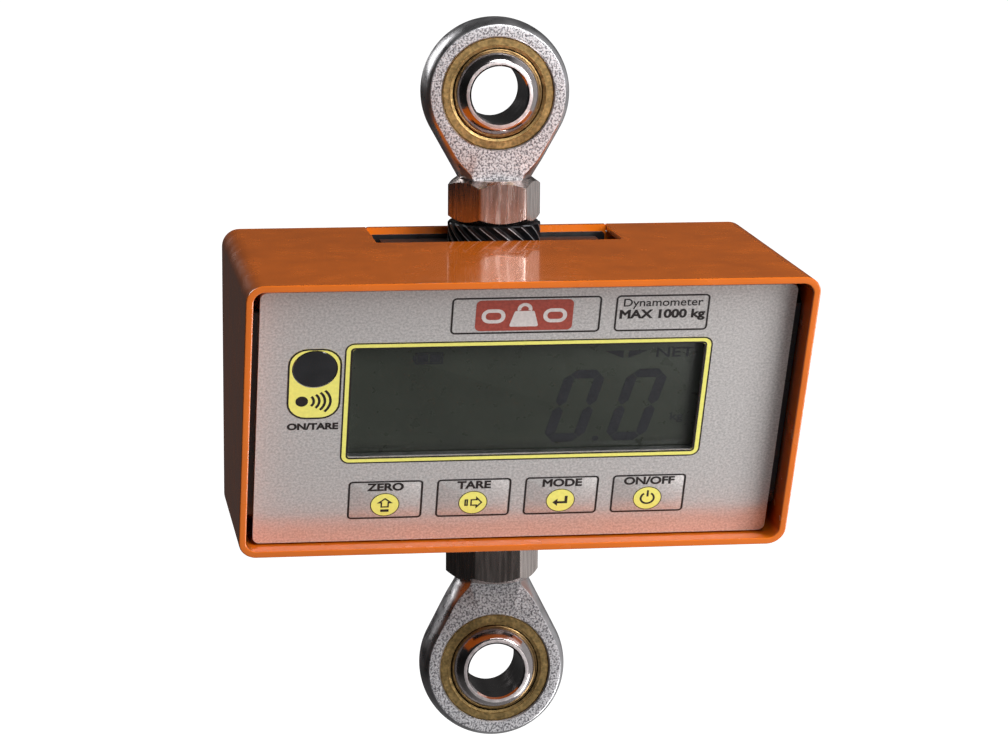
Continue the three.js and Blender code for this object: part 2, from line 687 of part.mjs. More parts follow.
/** Angle bracket on a side wall: a leg along the wall and a foot behind the panel. */
function panelBracket(side) {
  const low = panelLow + BRACKET_END_GAP;
  const high = panelHigh - BRACKET_END_GAP;
  const top = -panelBack - LAYER;
  const outer = innerW / 2 - BRACKET_GAP;
  const legInner = outer - BRACKET_T;
  const footInner = panelW / 2 - BRACKET_FOOT;
  const [legA, legB] = mirrored(side, legInner, outer);
  const [footA, footB] = mirrored(side, footInner, outer);
  const leg = box([legA, low, top - BRACKET_LEG], [legB, high, top]);
  let bracket = leg.add(box([footA, low, top - BRACKET_T], [footB, high, top]));
  for (const [u, v] of studPlaces()) {
    bracket = bracket.subtract(rodZ(STUD_R + FIT, top - BRACKET_LEG, top + 1, u, v, 12));
  }
  return bracket;
}

function studNut(u, v) {
  const top = -panelBack - 2 * LAYER - BRACKET_T;
  const nut = hexNut(STUD_NUT_FLATS, top - STUD_NUT_H, top, STUD_R + FIT / 2, 12);
  return nut.translate([u, v, 0]);
}

/** Key: a cap let into the panel, and a plunger below it that reaches the switch. */
function key(u, v) {
  const cap = alongZ(roundedRect(KEY_W, KEY_H, KEY_R, u, v), -KEY_T, 0);
  return cap.add(rodZ(PLUNGER_R, -KEY_T - PLUNGER_L, -KEY_T / 2, u, v - PLUNGER_DROP, 12));
}

/** Tactile switch on the board, its stem just clear of the pressed key. */
function keySwitch(u, v) {
  const stemTop = -KEY_T - PLUNGER_L - KEY_TRAVEL - 0.1;
  const half = SWITCH_SIDE / 2;
  const y = v - PLUNGER_DROP;
  const body = box([u - half, y - half, -BOARD_DEPTH + LAYER], [u + half, y + half, stemTop - SWITCH_STEM_L]);
  return body.add(rodZ(SWITCH_STEM_R, stemTop - SWITCH_STEM_L - 0.5, stemTop, u, y, 12));
}

/** Places of the board's posts, as [u, v]. */
function postPlaces() {
  const u = boardHalf - POST_INSET;
  const [low, high] = [boardLow + POST_INSET, boardHigh - POST_INSET];
  return [[-u, high], [u, high], [-u, low], [u, low]];
}

/** Threaded post pressed into the back of the plate. */
function boardPost(u, v) {
  const post = rodZ(POST_R, -BOARD_DEPTH + LAYER, -panelBack + PLATE_T / 2, u, v, 12);
  return post.subtract(rodZ(BOARD_SCREW.shank + SCREW_GAP, -BOARD_DEPTH, boardScrewTip + 1, u, v, 10));
}

const boardScrewSeat = -BOARD_DEPTH - BOARD_T - LAYER;
const boardScrewTip = boardScrewSeat + BOARD_SCREW.length;

function boardScrew(u, v) {
  return screw(BOARD_SCREW).rotate([180, 0, 0]).translate([u, v, boardScrewSeat]);
}

/** Circuit board and what is soldered to it: chips, a plug for each cable, the remote control's receiver. */
function circuitBoard() {
  const back = -BOARD_DEPTH - BOARD_T;
  const middle = (boardLow + boardHigh) / 2;
  const outline = roundedRect(2 * boardHalf, boardHigh - boardLow, 1.5, 0, middle);
  let board = alongZ(outline, back, -BOARD_DEPTH);
  for (const [u, v] of postPlaces()) {
    board = board.subtract(rodZ(BOARD_SCREW.shank + SCREW_GAP, back - 1, -BOARD_DEPTH + 1, u, v, 10));
  }
  const plugs = [-plugU, plugU].map((u) => ({ u, w: PLUG_W, h: PLUG_W, t: PLUG_T }));
  for (const { u, w, h, t } of [...CHIPS, ...plugs]) {
    const low = [u - w / 2, plugV - h / 2, back - t];
    board = board.add(box(low, [u + w / 2, plugV + h / 2, back + BOARD_T / 2]));
  }
  return board.add(sensorReceiver());
}

function lcdGlass() {
  const top = -panelBack - LAYER;
  const [w, h] = [DISPLAY_W + 2 * LCD_OVERLAP, DISPLAY_H + 2 * LCD_OVERLAP];
  const outline = roundedRect(w, h, 0.5, displayU, displayV);
  return alongZ(outline, top - LCD_T, top, 1);
}

/** Frame that holds the glass against the panel, on a ledge that stands on the board. */
function lcdHolder() {
  const [w, h] = [DISPLAY_W + 2 * (LCD_OVERLAP + FIT), DISPLAY_H + 2 * (LCD_OVERLAP + FIT)];
  const outline = roundedRect(w + 2 * HOLDER_WALL, h + 2 * HOLDER_WALL, 1, displayU, displayV);
  const wall = (hole) => {
    const ring = outline.clone();
    ring.holes.push(hole);
    return ring;
  };
  const top = -panelBack - LAYER;
  const lip = -panelBack - 2 * LAYER - LCD_T;
  const sides = alongZ(wall(roundedRect(w, h, 0.5, displayU, displayV)), lip, top, 1);
  const opening = roundedRect(w - 2 * HOLDER_LEDGE, h - 2 * HOLDER_LEDGE, 0.5, displayU, displayV);
  const ledge = alongZ(wall(opening), -BOARD_DEPTH + LAYER, lip, 1);
  return sides.add(ledge);
}

function displayWindow() {
  return alongZ(roundedRect(DISPLAY_W, DISPLAY_H, 0.7, displayU, displayV), -panelBack, 0, 1);
}

function sensorWindow() {
  return rodZ(SENSOR_R, -panelBack, 0, sensorU, sensorV, 28);
}

function sensorReceiver() {
  const half = RECEIVER_W / 2;
  const from = -BOARD_DEPTH - BOARD_T / 2;
  const top = -BOARD_DEPTH + RECEIVER_T;
  const body = box([sensorU - half, sensorV - half, from], [sensorU + half, sensorV + half, top]);
  const lens = new THREE.SphereGeometry(half * RECEIVER_LENS, 12, 6);
  return body.add(solid(lens.translate(sensorU, sensorV, top - half / 2)));
}

const plugV = (boardLow + boardHigh) / 2;
const plugU = boardHalf - POST_INSET - PLUG_W;

function panelGroup() {
  const group = new THREE.Group();
  group.add(piece('panel_overlay', panelSheet(-OVERLAY_T, 0), film));
  group.add(piece('front_plate', frontPlate(), aluminium));
  group.add(piece('panel_bracket_left', panelBracket(-1), zinc));
  group.add(piece('panel_bracket_right', panelBracket(1), zinc));
  studPlaces().forEach(([u, v], i) => group.add(piece('panel_nut_' + (i + 1), studNut(u, v), zinc)));
  group.add(piece('display_window', displayWindow(), acrylic));
  group.add(piece('lcd_glass', lcdGlass(), lcdGreen));
  group.add(piece('lcd_holder', lcdHolder(), darkPlastic));
  group.add(piece('sensor_window', sensorWindow(), darkPlastic));
  group.add(piece('circuit_board', circuitBoard(), boardGreen));
  keyPlaces().forEach(([u, v], i) => {
    group.add(piece(KEY_NAMES[i], key(u, v), film));
    group.add(piece('key_switch_' + (i + 1), keySwitch(u, v), darkPlastic));
  });
  postPlaces().forEach(([u, v], i) => {
    group.add(piece('board_screw_' + (i + 1), boardScrew(u, v), zinc));
  });
  group.applyMatrix4(panelMatrix());
  return group;
}

// ---------------------------------------------------------------- battery tray and wiring

/** Tray open towards the front. Its back lies on the rear cover. */
function batteryTray() {
  const [x, z] = [trayW / 2, trayL / 2];
  const outer = box([-x, -trayD, -z], [x, 0, z]);
  const inner = box([-x + TRAY_WALL, -trayD - 1, -z + TRAY_WALL], [x - TRAY_WALL, -TRAY_WALL, z - TRAY_WALL]);
  let tray = outer.subtract(inner);
  for (const [, z0] of trayCorners()) {
    tray = tray.subtract(rodY(TRAY_SCREW.shank + SCREW_GAP, -2 * TRAY_WALL, 1, 0, z0, 12));
  }
  return tray;
}

/** Contact plate across the four cells, at one end of the tray. */
function contactPlate(side) {
  const reach = 2 * CELL_AA_R + BATTERY_GAP / 2;
  const z = side * (trayL / 2 - TRAY_WALL - BATTERY_GAP - CONTACT_T / 2);
  const half = CONTACT_T / 2;
  return box([-reach, -trayD + BATTERY_GAP, z - half], [reach, -TRAY_WALL - BATTERY_GAP, z + half]);
}

/** One battery, standing on z = 0 with its positive end up. */
function battery() {
  return turnedZ(
    [
      [0, 0],
      [CELL_AA_R, 0],
      [CELL_AA_R, CELL_AA_L],
      [CELL_AA_NUB_R, CELL_AA_L],
      [CELL_AA_NUB_R, CELL_AA_L + CELL_AA_NUB_L],
      [0, CELL_AA_L + CELL_AA_NUB_L],
    ],
    16
  );
}

function batteryGroup() {
  const group = new THREE.Group();
  group.add(piece('battery_tray', batteryTray(), darkPlastic));
  group.add(piece('battery_contact_upper', contactPlate(1), zinc));
  group.add(piece('battery_contact_lower', contactPlate(-1), zinc));
  const step = CELL_AA_R + BATTERY_GAP / 4;
  const places = [[-1, 1], [1, 1], [-1, 3], [1, 3]];
  places.forEach(([column, row], i) => {
    const cell = piece('battery_' + (i + 1), battery(), batteryWrap);
    const up = column > 0;
    cell.rotation.x = up ? 0 : Math.PI;
    const base = -(CELL_AA_L + CELL_AA_NUB_L) / 2;
    cell.position.set(column * step, -TRAY_WALL - row * step - BATTERY_GAP * 0.5, up ? base : -base);
    group.add(cell);
  });
  group.position.set(trayX, trayY, cellZ);
  return group;
}

function trayScrews() {
  const group = new THREE.Group();
  trayCorners().forEach(([x, z], i) => {
    group.add(piece('tray_screw_' + (i + 1), rearScrew(TRAY_SCREW, x, z), zinc));
  });
  group.position.z = cellZ;
  return group;
}

/** A cable's last stretch into a plug on the board: the point behind it, and the end just clear of it. */
function intoPlug(side) {
  const back = -BOARD_DEPTH - BOARD_T - PLUG_T;
  return [fromPanel(side * plugU, plugV, back - PLUG_STUB), fromPanel(side * plugU, plugV, back - FIT)];
}

/** Signal cable from the load cell's gland round to the board. */
function cellCable() {
  const start = -CELL_W / 2 - GLAND_L - FIT;
  const bend = [start - SIGNAL_BEND.out, -SIGNAL_BEND.forward, cellZ + SIGNAL_BEND.up];
  const points = [[start, 0, cellZ], [start - CABLE_STUB, 0, cellZ], bend, ...intoPlug(-1)];
  return cableAlong(points, SIGNAL_CABLE_R);
}

/** Power lead from the battery tray to the board. */
function batteryLead() {
  const front = trayY - trayD - FIT;
  const top = cellZ + trayL / 2 - TRAY_WALL / 2;
  const x = trayX - trayW / 2 + TRAY_WALL / 2;
  return cableAlong([[x, front, top], [x, front - CABLE_STUB, top], ...intoPlug(1)], POWER_LEAD_R, 10);
}

// ---------------------------------------------------------------- the whole scale

const scale = new THREE.Group();
scale.add(piece('housing_shell', housingShell(), paint));
scale.add(housingGroup());
scale.add(eyeAssembly('upper', UPPER_REACH, UPPER_COLLAR_H, UPPER_NUT_TURN, false, 0));
scale.add(eyeAssembly('lower', LOWER_REACH, LOWER_COLLAR_H, 0, true, lowerEyeZ));
scale.add(loadCellGroup());
scale.add(panelGroup());
scale.add(batteryGroup());
scale.add(trayScrews());
scale.add(piece('cell_cable', cellCable(), cable));
scale.add(piece('battery_lead', batteryLead(), redCable));

export default scale;
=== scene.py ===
"""Crane scale: a display housing on a load line with a ball-jointed eye at each end.

Every piece is built around the measured frame, in metres: +Z is up, and the display faces -Y.
"""

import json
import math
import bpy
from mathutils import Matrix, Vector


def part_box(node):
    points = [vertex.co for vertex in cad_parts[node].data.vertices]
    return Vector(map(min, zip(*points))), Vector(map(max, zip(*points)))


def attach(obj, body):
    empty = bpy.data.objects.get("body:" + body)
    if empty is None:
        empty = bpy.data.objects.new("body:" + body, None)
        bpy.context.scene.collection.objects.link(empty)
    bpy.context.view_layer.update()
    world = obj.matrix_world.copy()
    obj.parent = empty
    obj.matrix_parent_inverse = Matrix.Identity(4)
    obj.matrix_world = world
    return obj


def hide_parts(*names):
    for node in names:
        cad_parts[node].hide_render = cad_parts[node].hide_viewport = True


bl_info = {
    "name": "Crane Scale",
    "version": (1, 0, 0),
    "blender": (4, 5, 0),
    "location": "View3D > Sidebar > Crane Scale",
    "description": "Builds a crane scale with its finishes, display, keys and stage",
    "category": "Add Mesh",
}

import bmesh
import bpy
from bpy.props import FloatProperty, FloatVectorProperty, IntProperty, PointerProperty, StringProperty
from mathutils import Matrix, Vector

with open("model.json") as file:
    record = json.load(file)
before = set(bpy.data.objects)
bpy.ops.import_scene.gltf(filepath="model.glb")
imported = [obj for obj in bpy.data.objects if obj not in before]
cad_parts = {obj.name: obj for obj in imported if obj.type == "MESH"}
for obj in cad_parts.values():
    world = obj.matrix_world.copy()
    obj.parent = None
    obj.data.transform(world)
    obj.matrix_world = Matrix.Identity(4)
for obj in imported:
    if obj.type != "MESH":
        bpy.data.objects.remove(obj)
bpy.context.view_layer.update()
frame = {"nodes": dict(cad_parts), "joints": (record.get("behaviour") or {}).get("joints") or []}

MM = 0.001
KEYS = ("zero_key", "tare_key", "mode_key", "power_key")
EYES = ("upper", "lower")


# ---------------------------------------------------------------- settings


def length(name, description, millimetres):
    """A length setting, its default given in millimetres."""
    return FloatProperty(
        name=name,
        description=description,
        default=millimetres * MM,
        unit="LENGTH",
        subtype="DISTANCE",
        precision=5,
    )


def angle(name, description, degrees):
    """An angle setting, its default given in degrees."""
    return FloatProperty(name=name, description=description, default=math.radians(degrees), subtype="ANGLE")


def colour(name, description, red, green, blue):
    """A colour setting, in linear light."""
    return FloatVectorProperty(
        name=name, description=description, default=(red, green, blue), subtype="COLOR", min=0, max=1
    )


class EyeSizes(bpy.types.PropertyGroup):
    """What the frame leaves open on the rod ends, bearings, nuts and collars."""

    head_crown: length("Head crown", "How far the head's sides bulge beyond its flat faces", 2.15)
    neck_fade: length("Neck fade", "Height over which the flat head turns into the round neck", 6)
    neck_half: length("Neck", "Radius of the round neck where it meets the nut", 10.4)
    bore_edge: length("Bore edge", "Chamfer where the race is pressed into the head", 0.35)
    pin_hole: length("Pin hole", "Radius of the hole through each ball", 8)
    land: length("Land", "Width of the flat ring around the pin hole", 1.65)
    race_edge: length("Race edge", "Chamfer on a race's outer edge", 0.35)
    race_step: length("Race step", "Depth of the step around the ball", 0.45)
    race_wall: length("Race wall", "Brass between the ball and the head", 1.6)
    running_gap: length("Running gap", "Gap between ball and race", 0.2)
    thread_pitch: length("Thread pitch", "Pitch of the shank's thread", 2)
    nut_edge: length("Nut edge", "Rounding of the nut's upright edges", 0.9)
    tooth_depth: length("Tooth depth", "Depth of the lock collar's teeth", 1)
    tooth_lean: angle("Tooth lean", "How far the collar's teeth lean from the axis", 52)
    teeth: IntProperty(name="Teeth", description="Teeth around a lock collar", default=20, min=8)
    nut_face: FloatProperty(
        name="Nut face", description="A nut's round end face, as a share of its flats",
        default=0.92, subtype="FACTOR"
    )
    nut_slope: FloatProperty(
        name="Nut slope", description="Fall of a nut's chamfer per unit of radius", default=0.72
    )


class HousingSizes(bpy.types.PropertyGroup):
    """What the frame leaves open on the housing and its rear cover."""

    wall: length("Wall", "Thickness of the steel tube", 2)
    corner: length("Corner", "Outside radius of the tube's corners", 5)
    rim: length("Rim", "Rounding of cut edges", 0.35)
    slot_side: length("Slot side", "Half the width of the slots for the load line", 35)
    slot_front: length("Slot front", "Front of the slots, ahead of the load line", 13.7)
    slot_corner: length("Slot corner", "Radius in the slots' corners", 1.2)
    block: length("Block", "Side of each threaded block", 8)
    block_inset: length("Block inset", "Block to the top and bottom walls", 4)
    socket: FloatProperty(
        name="Socket", description="Hexagon socket across its flats, as a share of a screw head", default=0.52
    )


class PanelSizes(bpy.types.PropertyGroup):
    """Printed artwork and display figures, placed around the windows and keys of the frame."""

    ink: length("Ink", "Thickness of the printing", 0.02)
    line: length("Line", "Width of a printed line", 0.52)
    film_gap: length("Film gap", "Film to the caps and windows let into it", 0.07)
    border: length("Border", "Width of the printed frame around the display", 2.05)
    border_corner: length("Border corner", "Outside radius of that frame", 2.6)
    field_w: length("Field width", "Width of the printed field around the sensor", 14.5)
    field_h: length("Field height", "Height of the printed field around the sensor", 23.5)
    field_top: length("Field top", "Sensor's centre to the top of its field", 6.8)
    field_corner: length("Field corner", "Radius of the field's corners", 5.4)
    dot: length("Dot", "Radius of the dot in the remote symbol", 1.7)
    label: length("Label", "Height of the capitals on the keys", 2.45)
    bold: length("Bold", "Extra on each side of a bold stroke", 0.14)
    label_rise: length("Label rise", "Key's centre to the middle of its label", 4.5)
    disc: length("Disc", "Radius of the disc on a key", 4.05)
    disc_drop: length("Disc drop", "Key's centre to the middle of its disc", 1.75)
    badge_w: length("Badge width", "Width of the framed badge", 40.3)
    badge_h: length("Badge height", "Height of the framed badge and the data label", 11.9)
    badge_shift: length("Badge shift", "Badge to the left of the display's middle", 1.9)
    data_w: length("Data width", "Width of the data label", 25.5)
    data_shift: length("Data shift", "Data label to the right of the display's middle", 34.85)
    top_row: length("Top row", "Display frame to the badge and the data label", 2.3)
    digit_w: length("Digit width", "Width of a figure on the display", 11.2)
    digit_h: length("Digit height", "Height of a figure on the display", 24.5)
    digit_pitch: length("Digit pitch", "From one figure to the next", 17.2)
    digit_shift: length("Digit shift", "Figures to the right of the display's middle", 13.4)
    stroke: length("Stroke", "Width of a figure's strokes", 2.9)
    display_left: length("Figures left", "All figures to the left of the display's middle", -0.6)
    display_low: length("Figures low", "All figures below the display's middle", 2.3)
    digit_lean: angle("Digit lean", "How far the figures lean", 12)


class Colours(bpy.types.PropertyGroup):
    """Colours of the finishes."""

    paint: colour("Paint", "Housing enamel", 0.80, 0.168, 0.007)
    zinc: colour("Zinc", "Plating on the rod ends", 0.70, 0.69, 0.71)
    zinc_dark: colour("Zinc pits", "Dark grain in the cast zinc faces", 0.15, 0.145, 0.16)
    nut: colour("Nut steel", "Bare steel of the nuts", 0.58, 0.50, 0.47)
    black_steel: colour("Black steel", "Blackened steel of the lock collars", 0.018, 0.018, 0.02)
    worn_edge: colour("Worn edge", "Bright edge of a collar's tooth", 0.30, 0.30, 0.31)
    ball: colour("Ball steel", "Polished steel of the balls", 0.50, 0.46, 0.46)
    brass: colour("Brass", "Bearing races", 0.50, 0.34, 0.14)
    film: colour("Film", "Silver film on the panel", 0.60, 0.57, 0.56)
    ink_black: colour("Black ink", "Printed lines and words", 0.016, 0.010, 0.010)
    ink_yellow: colour("Yellow ink", "Printed frames and discs", 0.93, 0.87, 0.20)
    ink_red: colour("Red ink", "Badge", 0.36, 0.060, 0.040)
    ink_white: colour("White ink", "Symbol on the badge", 0.72, 0.66, 0.64)
    lcd: colour("Display", "Display without figures", 0.052, 0.059, 0.046)
    lcd_figure: colour("Figures", "Dark parts of the display", 0.024, 0.024, 0.030)
    plastic: colour("Plastic", "Dark plastic", 0.010, 0.010, 0.012)
    aluminium: colour("Aluminium", "Plate behind the film and covers of the load cell", 0.55, 0.56, 0.57)
    cell: colour("Load cell", "Coating of the load cell", 0.012, 0.012, 0.014)
    board: colour("Board", "Circuit board", 0.010, 0.085, 0.030)
    cable: colour("Cable", "Signal cable", 0.012, 0.012, 0.013)
    lead: colour("Lead", "Power lead", 0.32, 0.012, 0.012)
    battery: colour("Battery", "Battery sleeve", 0.03, 0.05, 0.10)
    floor: colour("Floor", "Studio floor", 0.92, 0.92, 0.92)


class StageSizes(bpy.types.PropertyGroup):
    """Camera, floor and lamps."""

    camera_place: FloatVectorProperty(
        name="Camera",
        description="Place of the camera",
        default=(-0.1381, -0.9781, 0.1092),
        subtype="TRANSLATION",
        unit="LENGTH",
    )
    camera_turn: angle("Turn", "Camera's turn to the right of straight on", 8.22)
    camera_dip: angle("Dip", "Camera's tilt below level", 10.94)
    camera_roll: angle("Roll", "Camera's roll", 0.38)
    lens: FloatProperty(name="Lens", description="Focal length", default=125, unit="CAMERA")
    floor_drop: FloatProperty(
        name="Floor drop", description="Floor below the pin hole",
        default=1.0, unit="LENGTH", subtype="DISTANCE"
    )
    floor_reach: FloatProperty(
        name="Floor reach", description="Half the floor's side",
        default=60.0, unit="LENGTH", subtype="DISTANCE"
    )
    key_power: FloatProperty(
        name="Key power", description="Lamp above the front", default=18.0, unit="POWER", min=0
    )
    side_power: FloatProperty(
        name="Side power", description="Near lamp on the right", default=3.6, unit="POWER", min=0
    )
    low_power: FloatProperty(
        name="Low power", description="Lamp low on the right", default=8.0, unit="POWER", min=0
    )
    rear_power: FloatProperty(name="Rear power", description="Lamp behind", default=6.0, unit="POWER", min=0)


class CraneScaleSettings(bpy.types.PropertyGroup):
    """All settings of the crane scale."""

    eyes: PointerProperty(type=EyeSizes)
    housing: PointerProperty(type=HousingSizes)
    panel: PointerProperty(type=PanelSizes)
    colours: PointerProperty(type=Colours)
    stage: PointerProperty(type=StageSizes)


def settings():
    """The settings of the open scene."""
    return bpy.context.scene.crane_scale


# ---------------------------------------------------------------- outlines, as lists of (x, y)


def circle(radius, steps, x=0.0, y=0.0):
    """Points of a circle, counterclockwise."""
    turn = 2 * math.pi / steps
    return [(x + radius * math.cos(i * turn), y + radius * math.sin(i * turn)) for i in range(steps)]


def round_polygon(corners, radius, steps=6):
    """A convex polygon, given counterclockwise, with each corner rounded."""
    points = []
    count = len(corners)
    for i, corner in enumerate(corners):
        here = Vector(corner)
        back = (Vector(corners[i - 1]) - here).normalized()
        on = (Vector(corners[(i + 1) % count]) - here).normalized()
        half = back.angle(on) / 2
        centre = here + (back + on).normalized() * (radius / math.sin(half))
        start = here + back * (radius / math.tan(half)) - centre
        sweep = math.pi - 2 * half
        for k in range(steps + 1):
            turned = start.copy()
            turned.rotate(Matrix.Rotation(sweep * k / steps, 2))
            points.append(tuple(centre + turned))
    return points


def round_rect(width, height, radius, x=0.0, y=0.0, steps=6):
    """A rectangle with round corners, centred on (x, y)."""
    a, b = width / 2, height / 2
    corners = [(x - a, y - b), (x + a, y - b), (x + a, y + b), (x - a, y + b)]
    return round_polygon(corners, max(radius, 0.01 * MM), steps)


def hexagon(flats):
    """Corners of a hexagon with two flats across Y."""
    return circle(flats / math.sqrt(3), 6)


# ---------------------------------------------------------------- shapes, as (points, faces)


def loft(loops, closed=False):
    """Faces between loops of equal length. A closed loft returns to its first loop; an open one is capped."""
    count = len(loops[0])
    points = [tuple(point) for loop in loops for point in loop]
    last = (len(loops) - 1) * count
    faces = []
    if not closed:
        faces.append(tuple(reversed(range(count))))
        faces.append(tuple(range(last, last + count)))
    starts = [k * count for k in range(len(loops))]
    ends = starts[1:] + ([0] if closed else [])
    for here, there in zip(starts, ends):
        for i in range(count):
            j = (i + 1) % count
            faces.append((here + i, here + j, there + j, there + i))
    return points, faces


def slab(outline, low, high, edge=0.0, steps=3):
    """A plate from one height to another. outline(inset) gives its outline, and edge rounds its upper rim."""
    levels = [(0.0, low), (0.0, high - edge)]
    for k in range(1, steps + 1):
        if edge:
            bend = math.pi / 2 * k / steps
            levels.append((edge * (1 - math.cos(bend)), high - edge + edge * math.sin(bend)))
    return loft([[(x, y, z) for x, y in outline(inset)] for inset, z in levels])


def ring(outer, inner, low, high):
    """A flat ring between two outlines of the same number of points."""
    loops = [(outer, low), (outer, high), (inner, high), (inner, low)]
    return loft([[(x, y, z) for x, y in outline] for outline, z in loops], closed=True)


def turned(profile, steps=64, closed=True):
    """A profile of (radius, height) turned around Z."""
    return loft([[(x, y, h) for x, y in circle(r, steps)] for r, h in profile], closed)


def joined(shapes):
    """Several shapes as one."""
    points, faces = [], []
    for more_points, more_faces in shapes:
        start = len(points)
        points += more_points
        faces += [tuple(start + i for i in face) for face in more_faces]
    return points, faces


def moved(shape, matrix):
    """A shape after a move."""
    points, faces = shape
    return [tuple(matrix @ Vector(point)) for point in points], faces


TO_Y = Matrix.Rotation(-math.pi / 2, 4, "X")


# ---------------------------------------------------------------- pieces


def make_piece(name, shape, finishes, body="scale", place=None, sharp=40, pick=None):
    """Links a shape as a piece that rides on a body. pick(polygon) gives the number of a face's finish."""
    points, faces = shape
    mesh = bpy.data.meshes.new(name)
    mesh.from_pydata(points, [], faces)
    piece = bpy.data.objects.new(name, mesh)
    bpy.context.scene.collection.objects.link(piece)
    for finish in finishes:
        mesh.materials.append(finish)
    clean(mesh)
    finish_mesh(mesh, sharp)
    if pick:
        for polygon in mesh.polygons:
            polygon.material_index = pick(polygon)
    piece.matrix_world = place or Matrix.Identity(4)
    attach(piece, body)
    return piece


def clean(mesh):
    """Merges points that coincide and turns every face outwards."""
    work = bmesh.new()
    work.from_mesh(mesh)
    bmesh.ops.remove_doubles(work, verts=work.verts, dist=1e-7)
    bmesh.ops.dissolve_degenerate(work, edges=work.edges, dist=1e-8)
    bmesh.ops.recalc_face_normals(work, faces=work.faces)
    work.to_mesh(mesh)
    work.free()


def finish_mesh(mesh, sharp):
    """Smooth shading up to an angle in degrees."""
    mesh.shade_smooth()
    mesh.set_sharp_from_angle(angle=math.radians(sharp))


def settle(piece, sharp=40):
    """Applies a piece's modifiers."""
    bpy.context.view_layer.update()
    graph = bpy.context.evaluated_depsgraph_get()
    mesh = bpy.data.meshes.new_from_object(piece.evaluated_get(graph))
    piece.modifiers.clear()
    old = piece.data
    piece.data = mesh
    bpy.data.meshes.remove(old)
    finish_mesh(mesh, sharp)
    return piece


def cut(piece, shape, operation="DIFFERENCE"):
    """Cuts a shape out of a piece, or joins it on."""
    points, faces = shape
    mesh = bpy.data.meshes.new("cutter")
    mesh.from_pydata(points, [], faces)
    clean(mesh)
    tool = bpy.data.objects.new("cutter", mesh)
    bpy.context.scene.collection.objects.link(tool)
    modifier = piece.modifiers.new("Cut", "BOOLEAN")
    modifier.operation = operation
    modifier.solver = "EXACT"
    modifier.object = tool
    settle(piece)
    bpy.data.objects.remove(tool)
    bpy.data.meshes.remove(mesh)
    return piece


def soften(piece, width, segments=2, limit=35):
    """Rounds the sharp edges of a piece."""
    bevel = piece.modifiers.new("Soften", "BEVEL")
    bevel.width = width
    bevel.segments = segments
    bevel.limit_method = "ANGLE"
    bevel.angle_limit = math.radians(limit)
    bevel.use_clamp_overlap = True
    settle(piece, 50)
    weigh = piece.modifiers.new("Even shading", "WEIGHTED_NORMAL")
    weigh.keep_sharp = True
    return piece


def box_shape(low, high):
    """A box from its lowest to its highest corner."""
    outline = [(low[0], low[1]), (high[0], low[1]), (high[0], high[1]), (low[0], high[1])]
    return loft([[(x, y, z) for x, y in outline] for z in (low[2], high[2])])


def words(text, height, x, y, z, bold=0.0, wide=1.0):
    """Lettering as a thin shape, centred on (x, y). bold widens every stroke on both sides."""
    curve = bpy.data.curves.new("lettering", "FONT")
    curve.body = text
    curve.size = height / 0.69
    curve.align_x = "CENTER"
    writer = bpy.data.objects.new("lettering", curve)
    bpy.context.scene.collection.objects.link(writer)
    bpy.context.view_layer.update()
    mesh = bpy.data.meshes.new_from_object(writer)
    bpy.data.objects.remove(writer)
    bpy.data.curves.remove(curve)
    shape = thick_flat(mesh, settings().panel.ink, bold)
    return moved(shape, Matrix.Translation((x, y - height / 2, z)) @ Matrix.Diagonal((wide, 1, 1, 1)))


def thick_flat(mesh, thickness, outwards=0.0):
    """A flat filled mesh as a closed shape of some thickness, its outline moved outwards."""
    work = bmesh.new()
    work.from_mesh(mesh)
    bpy.data.meshes.remove(mesh)
    bmesh.ops.remove_doubles(work, verts=work.verts, dist=1e-7)
    work.verts.index_update()
    rim, aside = [], {}
    for edge in work.edges:
        if edge.is_boundary:
            corner = edge.link_loops[0]
            pair = (corner.vert, corner.link_loop_next.vert)
            if corner.face.normal.z < 0:
                pair = pair[::-1]
            way = (pair[1].co - pair[0].co).normalized()
            rim.append((pair[0].index, pair[1].index))
            for vertex in pair:
                aside.setdefault(vertex.index, []).append(Vector((way.y, -way.x, 0)))
    points = [vertex.co.copy() for vertex in work.verts]
    for index, ways in aside.items():
        mean = sum(ways, Vector()).normalized()
        points[index] += mean * (outwards / max(0.5, mean.dot(ways[0])))
    count = len(points)
    flats = []
    for face in work.faces:
        corners = [vertex.index for vertex in face.verts]
        flats.append(corners if face.normal.z > 0 else corners[::-1])
    work.free()
    faces = [tuple(index + count for index in flat) for flat in flats]
    faces += [tuple(reversed(flat)) for flat in flats]
    faces += [(a, b, b + count, a + count) for a, b in rim]
    lower = [(p.x, p.y, 0.0) for p in points]
    return lower + [(p.x, p.y, thickness) for p in points], faces


def sheet_shape(outlines, thickness):
    """A sheet with holes: the first outline is its edge and the others are the holes."""
    curve = bpy.data.curves.new("sheet", "CURVE")
    curve.dimensions = "2D"
    curve.fill_mode = "FRONT"
    for outline in outlines:
        spline = curve.splines.new("POLY")
        spline.points.add(len(outline) - 1)
        for point, (x, y) in zip(spline.points, outline):
            point.co = (x, y, 0, 1)
        spline.use_cyclic_u = True
    source = bpy.data.objects.new("sheet", curve)
    bpy.context.scene.collection.objects.link(source)
    bpy.context.view_layer.update()
    mesh = bpy.data.meshes.new_from_object(source)
    bpy.data.objects.remove(source)
    bpy.data.curves.remove(curve)
    return thick_flat(mesh, thickness)


